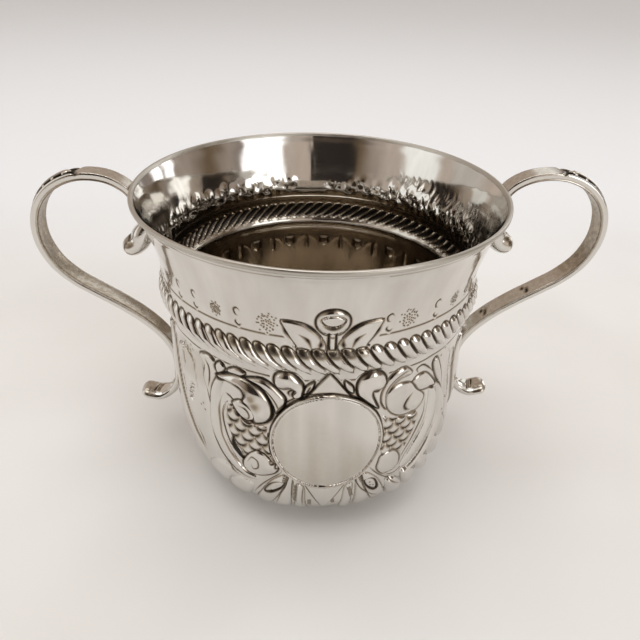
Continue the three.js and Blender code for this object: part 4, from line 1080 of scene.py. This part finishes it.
# The rim is a half-round silver wire, drawn and bent to a circle. It is soldered round the
# edge of the lip, and worn dull by use and wiping.
def new_tree(name, geometry, values, result):
    """A geometry node tree that takes a geometry and some values, and its own two ends."""
    tree = bpy.data.node_groups.new(name, "GeometryNodeTree")
    for label, kind in ((geometry, "Geometry"), *values):
        tree.interface.new_socket(label, in_out="INPUT", socket_type="NodeSocket" + kind)
    tree.interface.new_socket(result, in_out="OUTPUT", socket_type="NodeSocketGeometry")
    bench = NodeBench(tree)
    return bench, bench.add("NodeGroupInput").outputs, bench.add("NodeGroupOutput").inputs


def finish_tree(bench, geometry, finish, result):
    """Shades the geometry smooth, makes it real, gives it its finish and hands it out."""
    smooth = bench.add("GeometryNodeSetShadeSmooth", {"Geometry": geometry})
    real = bench.add("GeometryNodeRealizeInstances", {"Geometry": smooth.outputs["Geometry"]})
    painted = {"Geometry": real.outputs["Geometry"], "Material": finish}
    bench.tree.links.new(bench.add("GeometryNodeSetMaterial", painted).outputs["Geometry"], result)


def grown_piece(name, mesh, tree, values):
    """What a tree makes of a mesh, as a plain mesh object of its own."""
    source = bpy.data.objects.new(name + "_source", mesh)
    bpy.context.scene.collection.objects.link(source)
    modifier = source.modifiers.new("growth", "NODES")
    modifier.node_group = tree
    for item in tree.interface.items_tree:
        if item.name in values:
            modifier[item.identifier] = values[item.name]
    graph = bpy.context.evaluated_depsgraph_get()
    grown = bpy.data.meshes.new_from_object(source.evaluated_get(graph))
    grown.name = name
    bpy.data.objects.remove(source)
    piece = bpy.data.objects.new(name, grown)
    bpy.context.scene.collection.objects.link(piece)
    return piece


def ring_maker(name):
    """A tree that sweeps a closed section round a circle about the bowl's axis."""
    values = (("Radius", "Float"), ("Columns", "Int"), ("Finish", "Material"))
    bench, given, made = new_tree(name, "Section", values, "Ring")
    circle = {"Radius": given["Radius"], "Resolution": given["Columns"]}
    circle = bench.add("GeometryNodeCurvePrimitiveCircle", circle).outputs["Curve"]
    section = bench.add("GeometryNodeMeshToCurve", {"Mesh": given["Section"]}).outputs["Curve"]
    sweep = bench.add("GeometryNodeCurveToMesh", {"Curve": circle, "Profile Curve": section})
    finish_tree(bench, sweep.outputs["Mesh"], given["Finish"], made["Ring"])
    return bench.tree


ring_tree = ring_maker("wire_bent_to_a_ring")


def swept_ring(name, section, columns, finish):
    """A ring from the points of its section, given as radius and height in millimetres. The
    section is drawn about the ring's own radius, with its height pointing down."""
    middle = section[0][0]
    points = [((radius - middle) * millimetre, -height * millimetre, 0) for radius, height in section[::-1]]
    mesh = bpy.data.meshes.new(name + "_section")
    mesh.from_pydata(points, [(i, (i + 1) % len(points)) for i in range(len(points))], [])
    values = {"Radius": middle * millimetre, "Columns": columns, "Finish": finish}
    return grown_piece(name, mesh, ring_tree, values)


rim_finish = silver("rim_silver_finish", (0.52, 0.487, 0.435), 0.37, ripple=0.5)
rim_section = [(50.64, 97.66), (51.2, 97.64), (51.38, 97.64), (51.56, 97.66), (51.76, 97.72),
               (51.9, 97.86), (51.98, 98.06), (52.0, 98.32), (51.97, 98.58), (51.88, 98.8),
               (51.72, 98.94), (51.52, 98.99), (51.38, 99.0), (51.24, 98.97), (51.12, 98.88),
               (51.02, 98.72), (50.82, 98.36), (50.67, 98.04), (50.65, 97.9)]
rim = swept_ring("rim_band", rim_section, 360, rim_finish)
finish_piece(rim, rim_finish, "rim_silver", "rim_wire")


# The foot is a low ring of silver wire with a moulded outer side, soldered under the base.
# Its standing face is slightly hollow, so that the two edges bear.
foot_finish = silver("foot_silver_finish", (0.82, 0.80, 0.76), 0.2, ripple=0.4)
foot_section = [(23.85, 0.0), (25.4, 0.02), (26.85, 0.0), (26.97, 0.12), (27.0, 0.34), (26.93, 0.52),
                (26.7, 0.66), (26.45, 0.74), (26.28, 0.92), (26.18, 1.25), (26.12, 1.8), (26.15, 2.35),
                (26.3, 2.8), (26.6, 3.06), (24.4, 3.06), (24.62, 2.6), (24.66, 1.9), (24.66, 1.2),
                (24.5, 0.9), (24.1, 0.62), (23.85, 0.4)]
foot = swept_ring("foot_band", foot_section, 240, foot_finish)
finish_piece(foot, foot_finish, "foot_silver", "foot_ring")


# Each handle is one S-scroll strap, cast and filed, bent outwards from a bud under the rim,
# over the lip, round a wide elbow and back in to the belly, where it ends in a second bud.
# It has a reed along each edge outside, and it is soldered on at the lip and the belly.
rim_radius = 52.0
strap_width, strap_thickness, neck_width, neck_thickness = 6.2, 2.5, 5.2, 2.45
upper_bud, lower_bud = (7.8, 6.3, 7.4), (8.2, 3.9, 6.0)
elbow_turns = (105, 78, 50, 24, -4, -30, -54)
elbow_drop, elbow_rise, elbow_fall, arch_share = 15.0, 17.5, 18.9, 0.41
upper_tail = ((6.4, 19.0), (3.6, 19.0), (1.3, 17.5), (-0.1, 15.0))
lower_seat_drop, lower_bend = 58.0, ((0.58, 0.14), (0.34, 0.32), (0.12, 0.52))
seat_bend, seat_end, belly_leave = (2.6, 0.76), (0.0, 66.0), ((0.68, 70.5), (3.4, 75.0))
lower_tail = ((2.85, 76.8), (6.175, 76.26), (9.5, 75.0))


def handle_path(reach, seat_drop):
    """Points of the strap's middle line, as distance from the bowl's axis and height. The bends
    out to the elbow are shares of the reach, and the seats follow the wall."""
    half = strap_thickness / 2

    def seat(drop, gap=0.0):
        return (float(upper_radius(np.array([drop]))[0]) + half + gap, drop)

    def elbow(degrees):
        turn = math.radians(degrees)
        height = elbow_rise if degrees > 0 else elbow_fall
        share = arch_share + (1 - arch_share) * math.cos(turn)
        return (rim_radius + share * reach, elbow_drop - height * math.sin(turn))

    end = elbow(elbow_turns[-1])[1]
    fall = lower_seat_drop - end
    stations = [(rim_radius + x, drop) for x, drop in upper_tail]
    stations += [seat(11.5, 1.2), seat(8.5), seat(4.62, 0.6), (rim_radius + 2.4, 0.9)]
    stations += [elbow(degrees) for degrees in elbow_turns]
    stations += [(rim_radius + x * reach, end + y * fall) for x, y in lower_bend]
    stations += [(belly_radius + half + seat_bend[0], end + seat_bend[1] * fall), seat(lower_seat_drop)]
    stations += [(belly_radius + half + x, drop) for x, drop in (seat_end, *belly_leave)]
    stations += [(rim_radius + x, drop) for x, drop in lower_tail]
    return np.array([(x, rim_height - drop - seat_drop) for x, drop in stations])


def centripetal(knots, per_span=24):
    """A curve through all knots that never overshoots where they are close together."""
    knots = np.vstack([2 * knots[0] - knots[1], knots, 2 * knots[-1] - knots[-2]])
    t = (np.arange(per_span) / per_span)[:, None]
    found = []
    for a, b, c, d in zip(knots, knots[1:], knots[2:], knots[3:]):
        first, second, third = (float(np.hypot(*(q - p))) ** 0.5 for p, q in ((a, b), (b, c), (c, d)))
        leave = ((b - a) / first - (c - a) / (first + second) + (c - b) / second) * second
        arrive = ((c - b) / second - (d - b) / (second + third) + (d - c) / third) * second
        bend, twist = 3 * (c - b) - 2 * leave - arrive, leave + arrive - 2 * (c - b)
        found.append(b + t * (leave + t * (bend + t * twist)))
    found.append(knots[-2][None])
    return np.vstack(found)


half_section = np.array([(0, -0.43), (0.2, -0.445), (0.36, -0.475), (0.44, -0.5), (0.48, -0.47),
                         (0.498, -0.4), (0.49, -0.34), (0.468, -0.29), (0.47, -0.24), (0.492, -0.15),
                         (0.5, 0.0), (0.498, 0.15), (0.485, 0.28), (0.455, 0.38), (0.41, 0.42),
                         (0.37, 0.39), (0.345, 0.31), (0.32, 0.26), (0.26, 0.26), (0.17, 0.3),
                         (0.08, 0.33), (0, 0.34)])
section = np.vstack([half_section, half_section[-2:0:-1] * (-1, 1)])
section_turns = evenly_round(len(section))
round_section = np.stack([0.5 * np.sin(section_turns), -0.5 * np.cos(section_turns)], axis=1)
end_steps = np.concatenate([[0, 0.02, 0.07, 0.16, 0.3, 0.5], np.linspace(0.75, 4.5, 10)])
end_length, slope_step = 4.9, 0.15


def handle_frames(reach, seat_drop, count):
    """Places on the strap, closer together at its ends: distance, length of the whole strap,
    point and outward direction."""
    path = centripetal(handle_path(reach, seat_drop))
    walked = np.concatenate([[0], np.cumsum(np.hypot(*np.diff(path, axis=0).T))])
    length = walked[-1]

    def point_at(distance):
        return np.stack([np.interp(distance, walked, path[:, k]) for k in (0, 1)], axis=1)

    middle = np.linspace(end_length, length - end_length, count)
    distance = np.concatenate([end_steps, middle, (length - end_steps)[::-1]])
    ahead, behind = np.clip(distance + slope_step, 0, length), np.clip(distance - slope_step, 0, length)
    direction = point_at(ahead) - point_at(behind)
    direction /= np.hypot(*direction.T)[:, None]
    return distance, length, point_at(distance), np.stack([-direction[:, 1], direction[:, 0]], axis=1)


def strap_size(distance, length):
    """Width and thickness of the strap, and how far it is a round bud."""
    upper = distance < length / 2
    width, thickness, bud = (np.where(upper, a, b) for a, b in zip(upper_bud, lower_bud))
    share = np.minimum(distance, length - distance) / bud
    neck, full = smoothstep(share, 1.0, 2.0), smoothstep(share, 2, 8)
    ending = np.maximum(1 - np.clip(1 - 2.2 * share, 0, 1) ** 2, 0.0) ** 0.42
    wide = width + (neck_width - width) * neck
    deep = thickness + (neck_thickness - thickness) * neck
    wide = (wide + (strap_width - wide) * full) * ending
    deep = (deep + (strap_thickness - deep) * full) * ending
    return wide, deep, 1 - smoothstep(share, 0.9, 2.2)


notch_share, notch_slant, notch_width, notch_depth = 0.25, 0.75, 0.6, 0.5
reed_line_place, reed_line_width = 0.32, 0.03
side_line_place, side_line_width = -0.27, 0.04
nick_shares, nick_middle, nick_half, nick_width, nick_height = (0.605, 0.7), 0.4, 1.7, 0.5, 0.2
bud_cut_at, bud_cut_steps, bud_cut_slant = 5.2, (0.0, 1.1, 2.0), 0.35
bud_cut_half, bud_cut_width, bud_cut_depth = 2.2, 0.3, 0.25
channel_half, channel_end = 0.4, (0.73, 0.75)
# Painted shade on the strap's inner face, lighter on its lower part, and on the pads at the buds.
inner_face_painted_shade, lower_brightness, lower_part = 0.45, {-1: 0.15, 1: 0.22}, (0.48, 0.56)
upper_pad_painted_shade, lower_pad_painted_shade = 0.42, 0.28


def strap_section(distance, length, wide, deep, bud, side):
    """One section of the strap, across and outwards, with its oxide and painted shade. A slanting notch ends
    the plain flat part, the reeds and the dark channel between them follow it, two nicks are cut
    in the right handle's inner side, and three cuts stand at the neck of each bud. Painted shade darkens the
    inner face, less on its lower part, the flat outer face and the pads at the buds."""
    share, near_end, upper = distance / length, min(distance, length - distance), distance < length / 2
    shape = section + (round_section - section) * bud
    aside, up = np.abs(shape[:, 0]), shape[:, 1]
    x, strap = shape[:, 0] * wide, 1 - bud
    reeded = smoothstep(share, notch_share, notch_share + 0.012)
    filled = np.where(up > 0.2, np.maximum(up, 0.4), up)
    outer = smoothstep(up, 0.1, 0.24)
    notch = distance - notch_share * length - notch_slant * (strap_width / 2 - np.abs(x))
    notch = line_at(notch, notch_width) * outer
    reed_line = line_at(aside - reed_line_place, reed_line_width) * outer * strap * reeded
    side_line = line_at(up - side_line_place, side_line_width) * (aside > 0.4) * strap
    from_nick = np.abs(x - nick_middle)
    nicks = sum(line_at(distance - place * length - 0.9 * from_nick, nick_width) for place in nick_shares)
    nicks = nicks * (up < -0.4) * (from_nick < nick_half) * (side > 0)
    face = up < -0.1 if upper else up > 0.1
    from_cut = np.array([near_end - bud_cut_at - step for step in bud_cut_steps])[:, None]
    bud_cuts = line_at(from_cut - bud_cut_slant * x, bud_cut_width).max(axis=0)
    bud_cuts = bud_cuts * face * (np.abs(x) < bud_cut_half)
    # The dark channel beside the rat-tail is oxide and painted shadow.
    channel = smoothstep(channel_half - aside, 0, 0.03) * (up > 0.2)
    channel = channel * between(share, notch_share, notch_share + 0.01, *channel_end)
    # Painted shade: the inner face darker and lighter lower down, the flat outer face a little darker, and
    # the pads at the buds darker.
    inner_face = inner_face_painted_shade - lower_brightness[side] * smoothstep(share, *lower_part)
    inner_face = inner_face * (up < -0.35) * strap
    flat = (up > 0.2) * (1 - reeded) * strap
    pad = (upper_pad_painted_shade if upper else lower_pad_painted_shade) * face * (near_end < bud_cut_at)
    pad = pad * smoothstep(near_end, 0.4, 1.5)
    y = (filled + (up - filled) * max(reeded, bud)) * deep
    y = y - notch_depth * notch + nick_height * nicks - bud_cut_depth * bud_cuts * np.sign(up)
    dark = 0.85 * notch + 0.5 * reed_line + 0.5 * side_line + 0.8 * nicks + 0.9 * bud_cuts
    dark = dark + 0.75 * channel + inner_face + 0.22 * flat + pad
    return x, y, np.clip(dark, 0.03, 1)


def strap_mesh(name, side, reach, seat_drop):
    """The whole strap, closed with a point at each end."""
    distance, length, point, outward = handle_frames(reach, seat_drop, 300)
    wide, deep, bud = strap_size(distance, length)
    rings, dark = [], []
    for i in range(len(distance)):
        x, y, oxide_and_painted_shade = strap_section(distance[i], length, wide[i], deep[i], bud[i], side)
        plane = point[i] + outward[i] * y[:, None]
        rings.append(np.stack([side * plane[:, 0], -side * x, plane[:, 1]], axis=1))
        dark.append(oxide_and_painted_shade)
    faces, index = grid_faces(0, len(rings), len(section), True, False)
    first = len(rings) * len(section)
    last = first + 1
    for i in range(len(section)):
        faces.append([first, int(index[0, i]), int(index[0, i + 1])])
        faces.append([int(index[-1, i]), last, int(index[-1, i + 1])])
    points = np.vstack([*rings, rings[0].mean(0), rings[-1].mean(0)]) * millimetre
    return new_mesh(name, points, faces, oxide_and_painted_shade=np.concatenate([*dark, [0, 0]]))


handle_finish = silver("handle_silver_finish", (0.72, 0.695, 0.655), 0.12, pitting=0.16, ripple=0.4,
                       patches=(0.75, 1.25))
handle_sides = (("left", -1, 29.8, 1.2), ("right", 1, 31.6, -1.2))
for label, side, reach, seat_drop in handle_sides:
    strap = strap_mesh("handle_strap_" + label, side, reach, seat_drop)
    finish_piece(strap, handle_finish, "handle_silver", "handle_" + label)


# A rat-tail lies along the outer face of each handle: a row of round beads that dwindle, on
# a thin strip that tapers to its tail. It is cast in silver and soldered on.
tail_start, tail_end, beaded_share = 0.264, 0.74, 0.54
tail_width, tail_height, tail_tip = 2.6, 1.1, 0.38
tail_rows, tail_seat, strip_thickness = 120, 0.3 * strap_thickness + 0.1, 0.2
tail_section = ((-1.0, 0.0), (-0.8, 0.5), (-0.4, 0.9), (0.0, 1.0), (0.4, 0.9), (0.8, 0.5), (1.0, 0.0))
beaded_height, plain_height, stroke_turns = 0.72, 0.8, 62
bead_count, bead_sink, bead_oxide, bead_shape = 11, 0.1, 0.22, (1.25, 0.98, 0.6)


def bead_setter(name):
    """A tree that sets a bead on every point with a size, turned along the strip, beside the
    strip itself."""
    values = (("Bead radius", "Float"), ("Finish", "Material"))
    bench, given, made = new_tree(name, "Strip", values, "Rat-tail")

    def reading(attribute, kind):
        node = bench.add("GeometryNodeInputNamedAttribute", {"Name": attribute}, data_type=kind)
        return node.outputs["Attribute"]

    sized = {"A": reading("bead_size", "FLOAT"), "B": 0.01}
    sized = bench.add("FunctionNodeCompare", sized, data_type="FLOAT", operation="GREATER_THAN")
    parted = {"Geometry": given["Strip"], "Selection": sized.outputs["Result"]}
    parted = bench.add("GeometryNodeSeparateGeometry", parted).outputs
    ball = {"Segments": 20, "Rings": 12, "Radius": given["Bead radius"]}
    ball = bench.add("GeometryNodeMeshUVSphere", ball).outputs["Mesh"]
    beads = {"Points": parted["Selection"], "Instance": ball,
             "Rotation": reading("bead_turn", "FLOAT_VECTOR"),
             "Scale": reading("bead_stretch", "FLOAT_VECTOR")}
    beads = bench.add("GeometryNodeInstanceOnPoints", beads).outputs["Instances"]
    whole = bench.add("GeometryNodeJoinGeometry", {"Geometry": beads})
    bench.tree.links.new(parted["Inverted"], whole.inputs["Geometry"])
    finish_tree(bench, whole.outputs["Geometry"], given["Finish"], made["Rat-tail"])
    return bench.tree


tail_tree = bead_setter("rat_tail_beads")
tail_finish = silver("rat_tail_silver_finish", (0.84, 0.815, 0.77), 0.14, ripple=0.3)


def rat_tail(label, side, reach, seat_drop):
    """One rat-tail: a strip with its oxide and painted shadow, and on it the place, size, turn and stretch of
    every bead."""
    distance, length, point, outward = handle_frames(reach, seat_drop, 900)
    points, dark = [], []

    def at(along):
        here = (tail_start + (tail_end - tail_start) * along) * length
        both = [np.interp(here, distance, line[:, k]) for line in (point, outward) for k in (0, 1)]
        return np.array(both[:2]), np.array(both[2:])

    for i in range(tail_rows + 1):
        along = i / tail_rows
        middle, out = at(along)
        dwindle = 1 - (1 - tail_tip) * along
        ending = math.sqrt(max(0.0, min(1.0, along / 0.02, (1 - along) / 0.05)))
        half = 0.5 * tail_width * dwindle * (0.45 + 0.55 * ending)
        rise = (beaded_height if along < beaded_share else plain_height) * tail_height * dwindle * ending
        beyond = max(0.0, along - beaded_share)
        strokes = 0.5 + 0.5 * math.cos(beyond * stroke_turns)
        for x, up in tail_section:
            plane = middle + out * (tail_seat + (strip_thickness + rise * (0.6 + 0.4 * strokes)) * up)
            points.append((side * plane[0], -side * x * half, plane[1]))
            # The strip's sides, where it sits on the strap, are dark with oxide and painted shadow; the
            # strokes across the plain tail are cut.
            dark.append(0.95 * min(1.0, 2.2 * (1 - up)) + 0.6 * (1 - strokes))
    faces, index = grid_faces(0, tail_rows + 1, len(tail_section), False, True)
    for row, after in zip(index, index[1:]):
        faces.append([int(row[0]), int(after[0]), int(after[-1]), int(row[-1])])
    faces.append([int(v) for v in index[0][::-1]])
    faces.append([int(v) for v in index[-1]])
    sizes, bead_turns, stretches = ([empty] * len(points) for empty in (0.0, (0, 0, 0), (1, 1, 1)))
    for k in range(bead_count):
        along = (k + 0.5) * beaded_share / bead_count
        middle, out = at(along)
        dwindle = 1 - (1 - tail_tip) * along
        plane = middle + out * (tail_seat + bead_sink * tail_height * dwindle)
        points.append((side * plane[0], 0.0, plane[1]))
        dark.append(bead_oxide)
        sizes.append(dwindle)
        bead_turns.append((0.0, side * math.atan2(out[0], out[1]), 0.0))
        stretches.append([stretch * dwindle for stretch in bead_shape])
    mesh = bpy.data.meshes.new("rat_tail_strip_" + label)
    mesh.from_pydata([[v * millimetre for v in place] for place in points], [], faces)
    layers = {"oxide_and_painted_shade": dark, "bead_size": sizes, "bead_turn": bead_turns, "bead_stretch": stretches}
    for attribute, values in layers.items():
        values = np.array(values, np.float32)
        kind, key = ("FLOAT", "value") if values.ndim == 1 else ("FLOAT_VECTOR", "vector")
        mesh.attributes.new(attribute, kind, "POINT").data.foreach_set(key, values.ravel())
    values = {"Bead radius": 0.5 * tail_width * millimetre, "Finish": tail_finish}
    piece = grown_piece("rat_tail_beads_" + label, mesh, tail_tree, values)
    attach(piece, "root")
    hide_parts("rat_tail_" + label)


for label, side, reach, seat_drop in handle_sides:
    rat_tail(label, side, reach, seat_drop)


# The stage is a plain pale floor, very faintly clouded and a little cooler far behind.
floor_size = 8.0
pale, greyer, cool_white = (0.90, 0.90, 0.895), (0.84, 0.835, 0.825), (0.93, 0.96, 1.0)
floor_mesh = bpy.data.meshes.new("floor")
corners = [(x * floor_size, y * floor_size, 0) for x, y in ((-1, -1), (1, -1), (1, 1), (-1, 1))]
floor_mesh.from_pydata(corners, [], [(0, 1, 2, 3)])
floor = bpy.data.objects.new("floor", floor_mesh)
bpy.context.scene.collection.objects.link(floor)
floor_finish = bpy.data.materials.new("pale_floor")
floor_finish.use_nodes = True
floor_bench = NodeBench(floor_finish.node_tree)
floor_place = floor_bench.add("ShaderNodeTexCoord").outputs["Object"]
distance_back = floor_bench.add("ShaderNodeSeparateXYZ", {"Vector": floor_place}).outputs["Y"]
clouding = floor_bench.spread(floor_bench.noise(floor_place, 9.0, 2.0), 0.3, 0.7, kind="SMOOTHSTEP")
far_behind = floor_bench.spread(distance_back, 0.06, 0.3, kind="SMOOTHSTEP")
floor_colour = floor_bench.blend(far_behind, floor_bench.blend(clouding, pale, greyer), cool_white)
paint = floor_finish.node_tree.nodes["Principled BSDF"]
floor_bench.tree.links.new(floor_colour, paint.inputs["Base Color"])
paint.inputs["Roughness"].default_value = 0.9
floor_mesh.materials.append(floor_finish)


# The room that polished silver mirrors is a ring of soft upright panels, bright where it has
# windows and dark in front. Each has an azimuth in degrees, counted from +X towards +Y, and
# a colour. Higher up it is plainer, in brown shade behind the camera and pale beside it.
window, daylight, shade = (2.2, 2.2, 2.2), (1.15, 1.15, 1.12), (0.30, 0.25, 0.22)
curtain, wall_paint, plaster = (0.58, 0.49, 0.42), (0.40, 0.33, 0.28), (0.62, 0.57, 0.52)
wood, dusk = (0.17, 0.12, 0.075), (0.035, 0.028, 0.024)
high_daylight, high_shade = (0.85, 0.82, 0.78), (0.10, 0.075, 0.058)
ceiling_colour, ceiling_start, ceiling_full = (0.55, 0.46, 0.39), 66.0, 80.0
upper_start, upper_full = 35.0, 42.0
room_panels = [(-180, daylight), (-158, daylight), (-153, curtain), (-144, curtain), (-132, wall_paint),
               (-120, wood), (-117, dusk), (-85, dusk), (-82, curtain), (-65, curtain), (-61, window),
               (-33, window), (-29, shade), (-20, wall_paint), (-4, wood), (16, wall_paint),
               (27, wall_paint), (29, window), (35, window), (38, shade), (41, window), (47, window),
               (51, shade), (60, shade), (65, daylight), (73, daylight), (80, curtain), (125, curtain),
               (143, plaster), (158, plaster), (170, curtain)]
upper_panels = [(-180, high_daylight), (-144, high_daylight), (-136, high_shade), (-84, high_shade),
                (-72, (0.50, 0.45, 0.40)), (-20, (0.62, 0.58, 0.53)), (10, (0.36, 0.31, 0.27)),
                (60, (0.45, 0.38, 0.33)), (90, curtain), (150, curtain)]
strongest = max(window)

world = bpy.data.worlds.new("soft_studio")
bpy.context.scene.world = world
world.use_nodes = True
room = NodeBench(world.node_tree)
towards = room.add("ShaderNodeTexCoord").outputs["Generated"]
towards = room.add("ShaderNodeSeparateXYZ", {"Vector": towards}).outputs
azimuth = room.calculate("ARCTAN2", towards["Y"], towards["X"])
round_share = room.calculate("ADD", room.calculate("DIVIDE", azimuth, full_turn), 0.5)


def dimmed(colour):
    """A colour as a share of the strongest light, which the background's strength gives back."""
    return tuple(c / strongest for c in colour)


def ring_of_panels(panels):
    """A ramp of colours once round the room, which ends as it starts."""
    ramp = room.add("ShaderNodeValToRGB", {"Fac": round_share})
    ramp.color_ramp.interpolation = "EASE"
    stops = ramp.color_ramp.elements
    for i, (degrees, colour) in enumerate(panels):
        place = (degrees + 180) / 360
        stop = stops[0] if i == 0 else stops.new(place)
        stop.position = place
        stop.color = (*dimmed(colour), 1)
    stops[-1].position = 1.0
    stops[-1].color = stops[0].color
    return ramp.outputs["Color"]


def above(start, full):
    """0 below one angle over the horizon, in degrees, and 1 above another."""
    low, high = (math.sin(math.radians(degrees)) for degrees in (start, full))
    return room.spread(towards["Z"], low, high, kind="SMOOTHSTEP")


lit = room.blend(above(upper_start, upper_full), ring_of_panels(room_panels), ring_of_panels(upper_panels))
lit = room.blend(above(ceiling_start, ceiling_full), lit, dimmed(ceiling_colour))
background = world.node_tree.nodes["Background"]
room.tree.links.new(lit, background.inputs["Color"])
background.inputs["Strength"].default_value = strongest

softbox = bpy.data.lights.new("softbox_above", "AREA")
softbox.shape = "RECTANGLE"
softbox.size, softbox.size_y = 1.4, 1.0
softbox.energy = 10.0
softbox_object = bpy.data.objects.new("softbox_above", softbox)
softbox_object.location = (0.0, -0.1, 1.5)
bpy.context.scene.collection.objects.link(softbox_object)


# The camera stands at the photograph's height and angle, rolled a little as it was.
camera_place, camera_aim = Vector((-5.73, -144.55, 150.3)), Vector((0.90, -0.04, 52.25))
camera_roll = math.radians(1.97)
camera_data = bpy.data.cameras.new("camera")
camera_data.sensor_width = 36.0
camera_data.lens = 29.80
camera_data.clip_start, camera_data.clip_end = 0.01, 50.0
camera = bpy.data.objects.new("camera", camera_data)
bpy.context.scene.collection.objects.link(camera)
camera.location = camera_place * millimetre
camera.rotation_mode = "QUATERNION"
facing = (camera_aim * millimetre - camera.location).to_track_quat("-Z", "Y").to_matrix()
camera.rotation_quaternion = (facing @ Matrix.Rotation(camera_roll, 3, "Z")).to_quaternion()
bpy.context.scene.camera = camera
bpy.context.scene.view_settings.view_transform = "Standard"
